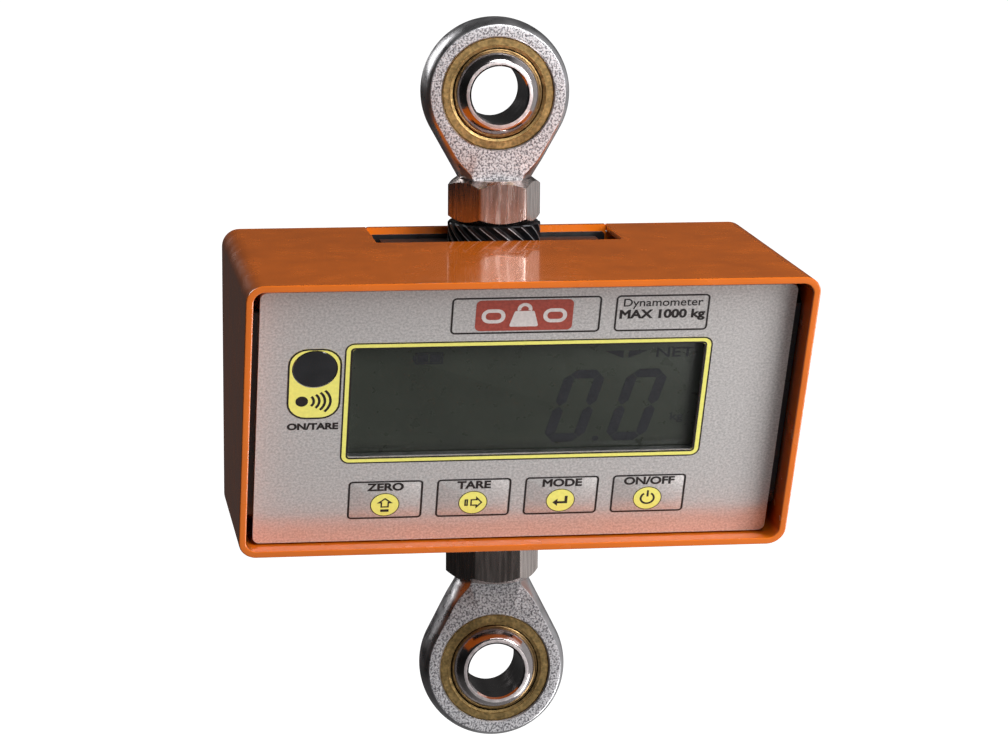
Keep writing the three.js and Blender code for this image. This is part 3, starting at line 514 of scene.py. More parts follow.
def print_piece(name, inked, body="scale", place=None):
    """Printing as one piece. inked is a list of (finish, shape)."""
    finishes = []
    for finish, _ in inked:
        if finish not in finishes:
            finishes.append(finish)
    shape = joined([part for _, part in inked])
    owners = [finishes.index(finish) for finish, part in inked for _ in part[1]]
    points, faces = shape
    mesh = bpy.data.meshes.new(name)
    mesh.from_pydata(points, [], faces)
    for finish in finishes:
        mesh.materials.append(finish)
    for polygon, owner in zip(mesh.polygons, owners):
        polygon.material_index = owner
    piece = bpy.data.objects.new(name, mesh)
    bpy.context.scene.collection.objects.link(piece)
    piece.matrix_world = place or Matrix.Identity(4)
    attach(piece, body)
    return piece


# ---------------------------------------------------------------- the panel's own frame


def panel_axes():
    """To the right, up the slope and out of the panel's face. A key travels straight in."""
    travel = next(joint["axis"] for joint in frame["joints"] if joint["name"] == "zero_key_press")
    outward = -Vector(travel).normalized()
    right = Vector((1, 0, 0))
    return right, outward.cross(right), outward


def reach(node, direction):
    """Lowest and highest reach of a node in a direction."""
    places = [vertex.co.dot(direction) for vertex in frame["nodes"][node].data.vertices]
    return min(places), max(places)


def panel_face():
    """How far out the panel's face lies."""
    return reach("panel_overlay", panel_axes()[2])[1]


def panel_place():
    """The panel's frame as a matrix: its face is at height 0."""
    right, up, outward = panel_axes()
    matrix = Matrix((right, up, outward)).transposed().to_4x4()
    matrix.translation = outward * panel_face()
    return matrix


def on_panel(node):
    """A node's middle and size in the panel's frame, and its lowest and highest place through it."""
    right, up, outward = panel_axes()
    left, far = reach(node, right)
    low, high = reach(node, up)
    bottom, top = reach(node, outward)
    face = panel_face()
    return (left + far) / 2, (low + high) / 2, far - left, high - low, bottom - face, top - face


# ---------------------------------------------------------------- finishes


def add_node(tree, kind, **options):
    """A node with its options set."""
    node = tree.nodes.new(kind)
    for key, value in options.items():
        setattr(node, key, value)
    return node


def place_texture(tree, stretch=(1, 1, 1)):
    """The place on the piece, stretched for a grain that runs one way."""
    coordinate = add_node(tree, "ShaderNodeTexCoord")
    mapping = add_node(tree, "ShaderNodeMapping")
    mapping.inputs["Scale"].default_value = stretch
    tree.links.new(coordinate.outputs["Object"], mapping.inputs["Vector"])
    return mapping.outputs["Vector"]


def grain(tree, place, per_metre, detail=3.0, rough=0.5):
    """Noise with a grain of so many to the metre."""
    node = add_node(tree, "ShaderNodeTexNoise")
    node.inputs["Scale"].default_value = per_metre
    node.inputs["Detail"].default_value = detail
    node.inputs["Roughness"].default_value = rough
    tree.links.new(place, node.inputs["Vector"])
    return node.outputs["Fac"]


def blend_colours(tree, factor, first, second, start=0.35, end=0.65):
    """Colour that runs from first to second as factor runs from start to end."""
    ramp = add_node(tree, "ShaderNodeValToRGB")
    ramp.color_ramp.elements[0].position = start
    ramp.color_ramp.elements[0].color = (*first, 1)
    ramp.color_ramp.elements[1].position = end
    ramp.color_ramp.elements[1].color = (*second, 1)
    tree.links.new(factor, ramp.inputs["Fac"])
    return ramp.outputs["Color"]


def spread(tree, factor, low, high):
    """A value between low and high that follows a noise."""
    node = add_node(tree, "ShaderNodeMapRange")
    node.inputs["From Min"].default_value = 0.3
    node.inputs["From Max"].default_value = 0.7
    node.inputs["To Min"].default_value = low
    node.inputs["To Max"].default_value = high
    tree.links.new(factor, node.inputs["Value"])
    return node.outputs["Result"]


def bump(tree, height, strength, distance, under=None):
    """Relief from a height, laid over another relief."""
    node = add_node(tree, "ShaderNodeBump")
    node.inputs["Strength"].default_value = strength
    node.inputs["Distance"].default_value = distance
    tree.links.new(height, node.inputs["Height"])
    if under:
        tree.links.new(under, node.inputs["Normal"])
    return node.outputs["Normal"]


def shade(colour_value, factor):
    """A colour made darker or lighter."""
    return tuple(min(1.0, part * factor) for part in colour_value)


class Finish:
    """A material being built: its tree, its shader and the place on the piece."""

    def __init__(self, name, metallic, coat=0.0, stretch=(1, 1, 1)):
        self.material = bpy.data.materials.new(name)
        self.material.use_nodes = True
        self.tree = self.material.node_tree
        self.shader = self.tree.nodes["Principled BSDF"]
        self.shader.inputs["Metallic"].default_value = metallic
        self.shader.inputs["Coat Weight"].default_value = coat
        self.shader.inputs["Coat Roughness"].default_value = 0.08
        self.place = place_texture(self.tree, stretch)

    def grain(self, per_metre, detail=3.0, rough=0.5):
        return grain(self.tree, self.place, per_metre, detail, rough)

    def base(self, socket):
        self.tree.links.new(socket, self.shader.inputs["Base Color"])

    def mottle(self, hue, per_metre, amount, start=0.35, end=0.65):
        """Base colour that varies a little either way."""
        factor = self.grain(per_metre)
        self.base(
            blend_colours(self.tree, factor, shade(hue, 1 - amount), shade(hue, 1 + amount), start, end)
        )

    def roughness(self, per_metre, low, high):
        self.tree.links.new(
            spread(self.tree, self.grain(per_metre), low, high), self.shader.inputs["Roughness"]
        )

    def relief(self, height, strength, distance):
        """Bump over what is there already."""
        under = self.shader.inputs["Normal"]
        before = under.links[0].from_socket if under.links else None
        self.tree.links.new(bump(self.tree, height, strength, distance, before), under)


def simple_finish(
    name, hue, metallic, rough, per_metre, amount=0.12, strength=0.15, coat=0.0, stretch=(1, 1, 1)
):
    """Mottled colour, uneven roughness and a fine relief, all of one grain."""
    finish = Finish(name, metallic, coat, stretch)
    finish.mottle(hue, per_metre, amount)
    finish.roughness(per_metre * 0.4, rough - 0.06, rough + 0.08)
    finish.relief(finish.grain(per_metre * 1.7), strength, 0.05 * MM)
    return finish


def orange_paint(name):
    """Glossy enamel with a faint orange peel."""
    finish = Finish(name, 0.0, coat=0.8)
    finish.shader.inputs["Coat Roughness"].default_value = 0.05
    finish.mottle(settings().colours.paint, 45, 0.06)
    finish.roughness(120, 0.16, 0.3)
    finish.relief(finish.grain(500, 2), 0.04, 0.04 * MM)
    finish.relief(finish.grain(2600, 2), 0.05, 0.01 * MM)
    return finish.material


def zinc_cast(name):
    """Rough plated face: bright, with dark grain."""
    finish = Finish(name, 0.55)
    colours = settings().colours
    speck = finish.grain(1750, 2.5, 0.62)
    finish.base(blend_colours(finish.tree, speck, colours.zinc_dark, colours.zinc, 0.40, 0.55))
    finish.roughness(900, 0.38, 0.6)
    finish.relief(speck, 0.55, 0.12 * MM)
    return finish.material


def zinc_smooth(name):
    """Plated steel, softly clouded."""
    finish = Finish(name, 0.95)
    finish.mottle(shade(settings().colours.zinc, 0.72), 160, 0.18)
    finish.roughness(260, 0.22, 0.42)
    finish.relief(finish.grain(1400), 0.2, 0.05 * MM)
    return finish.material


def nut_steel(name):
    """Bright steel with fine upright marks."""
    finish = Finish(name, 1.0, stretch=(1, 1, 0.08))
    finish.mottle(settings().colours.nut, 1500, 0.25)
    finish.roughness(900, 0.2, 0.3)
    finish.relief(finish.grain(2400), 0.22, 0.04 * MM)
    return finish.material


def ball_steel(name):
    """Polished steel with faint turning marks around Y."""
    finish = Finish(name, 1.0)
    finish.mottle(settings().colours.ball, 220, 0.08)
    finish.roughness(400, 0.08, 0.18)
    rings = turning_marks(finish, 1500)
    finish.relief(rings, 0.10, 0.02 * MM)
    return finish.material


def ball_land(name):
    """Ground steel, finely scored around Y."""
    finish = Finish(name, 0.9)
    finish.mottle(shade(settings().colours.ball, 1.45), 900, 0.15)
    finish.roughness(500, 0.42, 0.55)
    finish.relief(turning_marks(finish, 1100), 0.25, 0.03 * MM)
    return finish.material


def race_brass(name):
    """Brass with turning marks around Y."""
    finish = Finish(name, 1.0)
    finish.mottle(settings().colours.brass, 1100, 0.3)
    finish.roughness(500, 0.34, 0.5)
    finish.relief(turning_marks(finish, 900), 0.22, 0.03 * MM)
    finish.relief(finish.grain(2400), 0.12, 0.03 * MM)
    return finish.material


def turning_marks(finish, per_metre):
    """Rings around the piece's Y axis."""
    wave = add_node(finish.tree, "ShaderNodeTexWave", wave_type="RINGS", rings_direction="Y")
    wave.inputs["Scale"].default_value = per_metre
    wave.inputs["Distortion"].default_value = 1.5
    wave.inputs["Detail"].default_value = 2.0
    finish.tree.links.new(finish.place, wave.inputs["Vector"])
    return wave.outputs["Fac"]


def silver_film(name):
    """Printed film with a metallic sparkle."""
    finish = Finish(name, 0.35, coat=0.15)
    hue = settings().colours.film
    sparkle = finish.grain(1500, 2.0, 0.7)
    finish.base(blend_colours(finish.tree, sparkle, shade(hue, 0.80), shade(hue, 1.22), 0.34, 0.66))
    finish.roughness(600, 0.28, 0.40)
    finish.relief(sparkle, 0.12, 0.04 * MM)
    return finish.material


def clear_window(name):
    """Clear hard-coated window."""
    finish = simple_finish(name, (0.02, 0.022, 0.02), 0.0, 0.12, 300, 0.03, 0.02)
    finish.shader.inputs["Alpha"].default_value = 0.10
    finish.shader.inputs["IOR"].default_value = 1.45
    return finish.material


def display_glass(name):
    """Display behind its polariser: faintly mottled grey-green."""
    finish = Finish(name, 0.0)
    hue = settings().colours.lcd
    finish.mottle(hue, 70, 0.07)
    finish.roughness(300, 0.26, 0.36)
    finish.relief(finish.grain(2500), 0.08, 0.02 * MM)
    return finish.material


def circuit_green(name):
    """Solder resist over copper tracks."""
    finish = Finish(name, 0.0, coat=0.4)
    hue = settings().colours.board
    tracks = add_node(finish.tree, "ShaderNodeTexBrick")
    tracks.inputs["Scale"].default_value = 160
    tracks.inputs["Mortar Size"].default_value = 0.03
    tracks.inputs["Color1"].default_value = (*shade(hue, 1.15), 1)
    tracks.inputs["Color2"].default_value = (*shade(hue, 0.9), 1)
    tracks.inputs["Mortar"].default_value = (*shade(hue, 0.55), 1)
    finish.tree.links.new(finish.place, tracks.inputs["Vector"])
    finish.base(tracks.outputs["Color"])
    finish.roughness(400, 0.3, 0.45)
    finish.relief(tracks.outputs["Fac"], 0.3, 0.05 * MM)
    return finish.material


def plain(hue_name, metallic, rough, per_metre, amount=0.12, strength=0.15, coat=0.0, factor=1.0):
    """A finish made from one of the colours."""

    def build(name):
        hue = shade(getattr(settings().colours, hue_name), factor)
        return simple_finish(name, hue, metallic, rough, per_metre, amount, strength, coat).material

    return build


FINISHES = {
    "orange_paint": orange_paint,
    "zinc_cast": zinc_cast,
    "zinc_smooth": zinc_smooth,
    "nut_steel": nut_steel,
    "ball_steel": ball_steel,
    "ball_land": ball_land,
    "race_brass": race_brass,
    "silver_film": silver_film,
    "clear_window": clear_window,
    "display_glass": display_glass,
    "circuit_green": circuit_green,
    "black_steel": plain("black_steel", 0.7, 0.34, 900, 0.3, 0.3),
    "worn_edge": plain("worn_edge", 0.3, 0.35, 1500, 0.3, 0.2),
    "screw_steel": plain("zinc", 1.0, 0.27, 800, 0.15, 0.12, factor=0.8),
    "ink_black": plain("ink_black", 0.0, 0.35, 900, 0.25, 0.05),
    "ink_yellow": plain("ink_yellow", 0.0, 0.4, 900, 0.04, 0.08),
    "ink_red": plain("ink_red", 0.0, 0.4, 1100, 0.15, 0.08),
    "ink_white": plain("ink_white", 0.1, 0.4, 1100, 0.08, 0.08),
    "lcd_figure": plain("lcd_figure", 0.0, 0.4, 1200, 0.2, 0.05),
    "dark_plastic": plain("plastic", 0.0, 0.3, 700, 0.3, 0.1),
    "sensor_plastic": plain("plastic", 0.0, 0.12, 200, 0.3, 0.02, coat=0.6),
    "aluminium": plain("aluminium", 1.0, 0.36, 600, 0.1, 0.15),
    "cell_coating": plain("cell", 0.0, 0.42, 1300, 0.3, 0.35),
    "cable_sheath": plain("cable", 0.0, 0.5, 1000, 0.25, 0.2),
    "lead_sheath": plain("lead", 0.0, 0.45, 1000, 0.15, 0.2),
    "battery_sleeve": plain("battery", 0.3, 0.32, 300, 0.1, 0.08, coat=0.3),
    "floor_paper": plain("floor", 0.0, 0.6, 3, 0.02, 0.02),
}


def finish(name):
    """The material of that name, made when it is first asked for."""
    full_name = name + "_finish"
    return bpy.data.materials.get(full_name) or FINISHES[name](full_name)


# ---------------------------------------------------------------- load line


def eye_place(which):
    """An eye's frame: its origin is the pin hole's centre, and its shank points down."""
    low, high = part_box(which + "_ball")
    matrix = Matrix.Translation((low + high) / 2)
    if which == "lower":
        matrix = matrix @ Matrix.Rotation(math.pi, 4, "Y")
    return matrix


def along_line(which, node):
    """A node's two heights below its eye's pin hole, nearest first."""
    centre = eye_place(which).translation.z
    low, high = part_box(node)
    return tuple(sorted((abs(low.z - centre), abs(high.z - centre))))


def head_outline(head, neck, drop, steps=96):
    """The head's rim from the neck's right corner round to its left: a list of (point, outward direction)."""
    touch = math.atan2(-drop, neck) + math.acos(head / math.hypot(neck, drop))
    flank = Vector((math.cos(touch), math.sin(touch)))
    corner = Vector((neck, -drop))
    tangent = flank * head
    right = [(corner.lerp(tangent, k / 12), flank) for k in range(12)]
    crown = []
    for k in range(steps + 1):
        turn = touch + (math.pi - 2 * touch) * k / steps
        out = Vector((math.cos(turn), math.sin(turn)))
        crown.append((out * head, out))
    left = [(Vector((-p.x, p.y)), Vector((-o.x, o.y))) for p, o in reversed(right)]
    return right + crown + left


def rod_end_shape(head, half, neck, drop, bore, crown, fade, bore_edge):
    """Forged head: flat faces, bulging sides, and a round neck that the flats run down into."""
    rim_points = head_outline(head, neck, drop)
    foot_steps = 24

    def inset(depth, point):
        """How far the side draws in at a depth from the middle plane."""
        side = crown * (1 - math.sqrt(max(0.0, 1 - (depth / half) ** 2)))
        tube = neck - math.sqrt(max(0.0, neck * neck - depth * depth))
        share = max(0.0, 1 - (point.y + drop) / fade) ** 1.5
        return side + share * max(0.0, tube - side)

    def level(y):
        loop = []
        for point, out in rim_points:
            drawn = point - out * inset(abs(y), point)
            loop.append((drawn.x, y, drawn.y))
        right, left = loop[0], loop[-1]
        for k in range(1, foot_steps):
            share = k / foot_steps
            loop.append((left[0] + (right[0] - left[0]) * share, y, -drop))
        return [(x, y, max(z, -drop)) for x, y, z in loop]

    def bored(radius, y, like):
        return [(x / math.hypot(x, z) * radius, y, z / math.hypot(x, z) * radius) for x, _, z in like]

    depths = [half * math.sin(math.pi / 2 * k / 14) for k in range(1, 15)]
    flat = level(-half)
    loops = [bored(bore, -half + bore_edge, flat), bored(bore + bore_edge, -half, flat)]
    loops += [level(-depth) for depth in reversed(depths)] + [level(0.0)] + [level(depth) for depth in depths]
    loops += [bored(bore + bore_edge, half, flat), bored(bore, half - bore_edge, flat)]
    return loft(loops, closed=True)


def shank_shape(radius, start, end, pitch):
    """Threaded shank between two heights below the eye."""
    profile = [(0.05 * MM, -start), (radius - 0.4 * MM, -start)]
    depth = 0.6 * pitch
    height = start + pitch
    while height < end - pitch:
        profile.append((radius - depth, -height))
        profile.append((radius, -height - pitch * 0.45))
        profile.append((radius, -height - pitch * 0.6))
        height += pitch
    profile += [(radius - depth, -end + pitch * 0.5), (radius - depth - pitch * 0.4, -end), (0.05 * MM, -end)]
    return turned(profile, 48)


def build_rod_end(which):
    """A rod end: forged head, pressed-in bore and threaded shank."""
    sizes = settings().eyes
    node = which + "_rod_end"
    low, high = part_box(node)
    race_low, race_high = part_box(which + "_bearing_race")
    race = (race_high.x - race_low.x) / 2
    near, _ = along_line(which, which + "_lock_nut")
    centre = eye_place(which).translation.z
    head = (high.z - centre) if which == "upper" else (centre - low.z)
    tip = (centre - low.z) if which == "upper" else (high.z - centre)
    half = (high.y - low.y) / 2
    half = min(half, 7.5 * MM)
    gap = 0.05 * MM
    bore = race + gap
    body = rod_end_shape(
        head, half, sizes.neck_half, near, bore, sizes.head_crown, sizes.neck_fade, sizes.bore_edge
    )
    shank = shank_shape(7.9 * MM, near - 0.2 * MM, tip, sizes.thread_pitch)

    def pick(polygon):
        return 0 if abs(polygon.normal.y) > 0.96 else 1

    finishes = [finish("zinc_cast"), finish("zinc_smooth")]
    piece = make_piece(which + "_eye", joined([body, shank]), finishes, "scale", eye_place(which), 34, pick)
    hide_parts(node)
    return piece


def build_race(which):
    """Brass race: a ring with a spherical seat, chamfered at its edges."""
    sizes = settings().eyes
    low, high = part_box(which + "_bearing_race")
    half = (high.y - low.y) / 2
    outer = (high.x - low.x) / 2
    seat = outer - sizes.race_wall + sizes.running_gap
    edge = sizes.race_edge
    step = sizes.race_step
    lip = math.asin((half - step) / seat)
    profile = [(outer - edge, -half), (outer, -half + edge), (outer, half - edge), (outer - edge, half)]
    inner = [(seat * math.cos(turn), seat * math.sin(turn)) for turn in steps_between(lip, -lip, 14)]
    ledge = seat * math.cos(lip) + 2 * step
    inner = [(ledge, half), (
        ledge - 0.15 * MM, half - 0.6 * step
    ), *inner, (ledge - 0.15 * MM, 0.6 * step - half), (ledge, -half)]
    shape = moved(turned(profile + inner, 96), TO_Y)
    piece = make_piece(which + "_race_ring", shape, [finish("race_brass")], "scale", eye_place(which), 30)
    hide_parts(which + "_bearing_race")
    return piece


def steps_between(start, end, count):
    """Evenly spaced values, both ends among them."""
    return [start + (end - start) * k / count for k in range(count + 1)]


def build_ball(which):
    """Ball with flat sides, a ring-shaped land and a chamfered pin hole."""
    sizes = settings().eyes
    low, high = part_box(which + "_ball")
    half = (high.y - low.y) / 2
    hole = sizes.pin_hole
    land = hole + sizes.land
    radius = math.hypot(land, half)
    edge = 0.25 * MM
    chamfer = 0.5 * MM
    lip = math.asin((half - edge) / radius)
    outside = [(radius * math.cos(turn), radius * math.sin(turn)) for turn in steps_between(-lip, lip, 20)]
    profile = [(hole, -half + chamfer), (hole + chamfer, -half), (land - edge, -half)]
    profile += outside
    profile += [(land - edge, half), (hole + chamfer, half), (hole, half - chamfer)]
    shape = moved(turned(profile, 96), TO_Y)
    body = which + "_ball"

    def pick(polygon):
        return 1 if abs(polygon.normal.y) > 0.95 else 0

    finishes = [finish("ball_steel"), finish("ball_land")]
    piece = make_piece(which + "_swivel_ball", shape, finishes, body, eye_place(which), 30, pick)
    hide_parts(which + "_ball")
    return piece


def nut_turn(node):
    """How far a nut is turned around Z, from the corner that reaches furthest to the right."""
    corners = frame["nodes"][node].data.vertices
    far = max((vertex.co for vertex in corners), key=lambda place: place.x)
    return math.atan2(far.y, far.x)


def nut_shape(flats, turn, low, high, hole, edge, face_share, slope):
    """Hexagon nut along Z with chamfered ends and rounded upright edges."""
    corners = [Vector(corner) for corner in hexagon(flats)]
    for corner in corners:
        corner.rotate(Matrix.Rotation(turn, 2))
    outline = round_polygon([tuple(corner) for corner in corners], edge, 5)
    fine = []
    for i, point in enumerate(outline):
        here, there = Vector(point), Vector(outline[(i + 1) % len(outline)])
        parts = 10 if (there - here).length > edge else 1
        fine += [tuple(here.lerp(there, k / parts)) for k in range(parts)]
    face = flats / 2 * face_share
    lead = 0.8 * MM

    def around(radius):
        return [(x / math.hypot(x, y) * radius, y / math.hypot(x, y) * radius) for x, y in fine]

    def at(points, z):
        return [(x, y, z) for x, y in points]

    def chamfered(z, way):
        return [(x, y, z - way * (math.hypot(x, y) - face) * slope) for x, y in fine]

    loops = [
        at(around(hole), low + lead), at(around(hole + lead), low), at(around(face), low), chamfered(low, -1)
    ]
    loops += [chamfered(high, 1), at(around(face), high), at(
        around(hole + lead), high
    ), at(around(hole), high - lead)]
    return loft(loops, closed=True)


def build_nut(which):
    """Lock nut."""
    sizes = settings().eyes
    node = which + "_lock_nut"
    low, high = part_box(node)
    turn = nut_turn(node)
    flats = (high.x - low.x) / math.cos(turn) * math.cos(math.pi / 6)
    shape = nut_shape(flats, turn, low.z, high.z, 8.05 * MM, sizes.nut_edge, sizes.nut_face, sizes.nut_slope)
    piece = make_piece(which + "_nut", shape, [finish("nut_steel")], sharp=24)
    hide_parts(node)
    return piece


def build_collar(which):
    """Lock collar: leaning teeth with a worn bright edge."""
    sizes = settings().eyes
    node = which + "_lock_collar"
    low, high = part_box(node)
    radius = (high.x - low.x) / 2
    root = radius - sizes.tooth_depth
    pitch = 2 * math.pi / sizes.teeth
    corners = [
        (0.0, root), (0.46, radius - 0.12 * MM), (0.52, radius), (0.6, radius), (0.86, radius), (0.93, root)
    ]
    way = -1 if which == "upper" else 1
    twist = math.tan(sizes.tooth_lean) / radius * way
    levels = 10
    edge = 0.3 * MM

    def level(z, inset):
        turn = twist * (z - low.z)
        loop = []
        for i in range(sizes.teeth):
            for share, r in corners:
                at = (i + share) * pitch + turn
                loop.append(((r - inset) * math.cos(at), (r - inset) * math.sin(at), z))
        return loop

    heights = [low.z + edge + (high.z - low.z - 2 * edge) * k / levels for k in range(levels + 1)]
    loops = [level(low.z, edge)] + [level(z, 0.0) for z in heights] + [level(high.z, edge)]
    hole = 8.05 * MM
    for z in (high.z, low.z):
        loops.append(
            [(x / math.hypot(x, y) * hole, y / math.hypot(x, y) * hole, z) for x, y, _ in level(z, 0.0)]
        )
    shape = loft(loops, closed=True)
    step = len(corners)
    count = step * sizes.teeth

    def pick(polygon):
        ring_number, place = divmod(polygon.index, count)
        return 1 if place % step == 2 and 0 < ring_number <= levels else 0

    finishes = [finish("black_steel"), finish("worn_edge")]
    piece = make_piece(which + "_collar", shape, finishes, sharp=30, pick=pick)
    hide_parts(node)
    return piece


# ---------------------------------------------------------------- housing


def housing_shape():
    """Square tube whose front is cut to lean over the panel."""
    sizes = settings().housing
    low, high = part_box("housing_shell")
    width, height = high.x - low.x, high.z - low.z
    middle = (low.z + high.z) / 2
    outward = panel_axes()[2]
    front = reach("housing_shell", outward)[1]
    outer = round_rect(width, height, sizes.corner, 0, middle, 10)
    inner_w, inner_h = width - 2 * sizes.wall, height - 2 * sizes.wall
    inner = round_rect(inner_w, inner_h, sizes.corner - sizes.wall, 0, middle, 10)

    def back(outline):
        return [(x, high.y, z) for x, z in outline]

    def fore(outline):
        return [(x, (front - z * outward.z) / outward.y, z) for x, z in outline]

    return loft([back(outer), fore(outer), fore(inner), back(inner)], closed=True)


def threaded_blocks():
    """Four blocks welded to the side walls, behind the cover's screws."""
    sizes = settings().housing
    low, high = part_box("housing_shell")
    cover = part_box("rear_cover")[0].y
    inner_x = high.x - sizes.wall
    inner_z = (high.z - low.z) / 2 - sizes.wall - sizes.block_inset
    middle = (low.z + high.z) / 2
    shapes = []
    for side in (-1, 1):
        for end in (-1, 1):
            xs = sorted((side * (inner_x + sizes.wall * 0.4), side * (inner_x - sizes.block)))
            zs = sorted((middle + end * inner_z, middle + end * (inner_z - sizes.block)))
            shapes.append(box_shape((xs[0], cover - sizes.block, zs[0]), (xs[1], cover, zs[1])))
    return shapes


def build_housing():
    """Painted shell with its slots and blocks."""
    sizes = settings().housing
    low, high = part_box("housing_shell")
    piece = make_piece("housing", housing_shape(), [finish("orange_paint")])
    depth = high.y + sizes.slot_front + 10 * MM
    y = -sizes.slot_front + depth / 2
    slot = slab(lambda inset: round_rect(
        2 * sizes.slot_side, depth, sizes.slot_corner, 0, y, 4
    ), low.z - 1, high.z + 1)
    cut(piece, slot)
    for block in threaded_blocks():
        cut(piece, block, "UNION")
    soften(piece, sizes.rim)
    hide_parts("housing_shell")
    return piece


def build_rear_cover():
    """Rear cover with a tab that closes the open end of each slot."""
    sizes = settings().housing
    shell_low, shell_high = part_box("housing_shell")
    low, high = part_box("rear_cover")
    middle = (low.z + high.z) / 2
    gap = (shell_high.x - sizes.wall) - high.x
    inner_h = shell_high.z - shell_low.z - 2 * (sizes.wall + gap)
    place = Matrix.Translation((0, high.y, middle)) @ Matrix.Rotation(math.pi / 2, 4, "X")
    thick = high.y - low.y
    radius = sizes.corner - sizes.wall
    plate = slab(lambda inset: round_rect(high.x - low.x, inner_h, radius), 0, thick)
    tab = slab(lambda inset: round_rect(2 * sizes.slot_side - 0.2 * MM, high.z - low.z, 0.4 * MM), 0, thick)
    piece = make_piece("rear_panel", moved(plate, place), [finish("orange_paint")])
    cut(piece, moved(tab, place), "UNION")
    soften(piece, 0.3 * MM)
    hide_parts("rear_cover")
    return piece


def build_slot_shade_sheet():
    """Dark sheet on the inside of the cover, behind the slots: painted shade that stands in for the shadow
    down the slots.
    """
    sizes = settings().housing
    low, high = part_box("rear_cover")
    width, height = 2 * (sizes.slot_side - 0.5 * MM), high.z - low.z - 2 * sizes.wall
    place = Matrix.Translation((0, low.y, (low.z + high.z) / 2)) @ Matrix.Rotation(math.pi / 2, 4, "X")
    sheet = slab(lambda inset: round_rect(width - 2 * inset, height - 2 * inset, MM), 0, 0.3 * MM, 0.08 * MM)
    # Painted shade: this dark sheet darkens the slots where the cover's inside lies in shadow.
    piece = make_piece("rear_gasket", moved(sheet, place), [finish("dark_plastic")])
    return piece


def build_rear_screw(node):
    """Button-head screw with a hexagon socket, seen from behind."""
    low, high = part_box(node)
    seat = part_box("rear_cover")[1].y
    head = (high.x - low.x) / 2
    tall = high.y - seat
    shank = head * 0.5
    socket = head * 2 * settings().housing.socket
    outline = [(x, y) for x, y in round_polygon(hexagon(socket), 0.05 * MM, 1)]
    steps = len(outline) * 4
    dome = [(head * math.cos(turn) ** 0.8, tall * math.sin(turn)) for turn in steps_between(0.0, 1.15, 7)]
    profile = [(0.02 * MM, low.y - seat), (shank, low.y - seat), (shank, -0.02 * MM), (head, -0.02 * MM)]
    body = turned([*profile, *dome, (0.02 * MM, tall)], steps)
    place = Matrix.Translation(((low.x + high.x) / 2, seat, (low.z + high.z) / 2)) @ TO_Y
    name = node.replace("screw", "bolt")
    piece = make_piece(name, body, [finish("screw_steel")], place=place, sharp=30)
    cut(piece, slab(lambda inset: outline, tall * 0.35, tall * 2))
    finish_mesh(piece.data, 30)
    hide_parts(node)
    return piece


# ---------------------------------------------------------------- display panel


def build_film():
    """Silver film with openings for the windows and keys."""
    sizes = settings().panel
    u, v, width, height, bottom, _ = on_panel("panel_overlay")
    outlines = [round_rect(width, height, 2 * MM, u, v)]
    gap = 2 * sizes.film_gap
    for node, radius in [("display_window", 0.8 * MM)] + [(key, 1.3 * MM) for key in KEYS]:
        x, y, w, h, _, _ = on_panel(node)
        outlines.append(round_rect(w + gap, h + gap, radius, x, y))
    x, y, w, _, _, _ = on_panel("sensor_window")
    outlines.append(circle(w / 2 + sizes.film_gap, 72, x, y))
    shape = moved(sheet_shape(outlines, -bottom), Matrix.Translation((0, 0, bottom)))
    piece = make_piece("panel_film", shape, [finish("silver_film")], place=panel_place())
    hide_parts("panel_overlay")
    return piece


def framed(width, height, radius, x, y, line, z, ink):
    """A printed outline."""
    outer = round_rect(width, height, radius, x, y)
    inner = round_rect(width - 2 * line, height - 2 * line, max(radius - line, 0.1 * MM), x, y)
    return ring(outer, inner, z, z + ink)


def field(width, height, radius, x, y, z, ink):
    """A printed patch."""
    outline = round_rect(width, height, radius, x, y)
    return loft([[(px, py, h) for px, py in outline] for h in (z, z + ink)])


def shape_of(outline, z, ink):
    """A printed shape."""
    return loft([[(x, y, h) for x, y in outline] for h in (z, z + ink)])


def display_artwork():
    """Yellow frame with a black line on either side of it."""
    sizes = settings().panel
    u, v, w, h, _, _ = on_panel("display_window")
    black, yellow = finish("ink_black"), finish("ink_yellow")
    ink, line, border = sizes.ink, sizes.line, sizes.border
    outer_w, outer_h = w + 2 * border, h + 2 * border
    outer = round_rect(outer_w, outer_h, sizes.border_corner, u, v)
    inner = round_rect(w, h, 0.9 * MM, u, v)
    yellow_ring = ring(outer, inner, 0, ink)
    outside = framed(outer_w, outer_h, sizes.border_corner, u, v, line * 0.8, ink, ink)
    inside = framed(w + 2 * line, h + 2 * line, 1.2 * MM, u, v, line, ink, ink)
    return [(yellow, yellow_ring), (black, outside), (black, inside)]


def sensor_artwork():
    """Yellow field around the sensor, with the remote symbol and its words."""
    sizes = settings().panel
    u, v, _, _, _, _ = on_panel("sensor_window")
    black, yellow = finish("ink_black"), finish("ink_yellow")
    ink, line = sizes.ink, sizes.line
    middle = v + sizes.field_top - sizes.field_h / 2
    window = on_panel("sensor_window")[2] / 2 + sizes.film_gap
    outer = round_rect(sizes.field_w, sizes.field_h, sizes.field_corner, u, middle, steps=12)
    art = [(yellow, sheet_shape([outer, circle(window, 72, u, v)], ink))]
    art.append((black, framed(sizes.field_w, sizes.field_h, sizes.field_corner, u, middle, line, ink, ink)))
    dot_u, dot_v = u - 3.2 * MM, v - 10.7 * MM
    art.append((black, shape_of(circle(sizes.dot, 40, dot_u, dot_v), ink, ink)))
    for i in range(4):
        far = dot_u + (3.6 + 1.5 * i) * MM
        radius = (2.5 + 0.9 * i) * MM
        art.append(
            (black, arc_stroke(far - radius, dot_v, radius, 0.72 * MM, -WAVE_TURN, WAVE_TURN, 16, ink, ink))
        )
    words_v = middle - sizes.field_h / 2 - 2.5 * MM
    art.append((black, words("ON/TARE", 2.0 * MM, u, words_v, 0, sizes.bold, 1.12)))
    return art


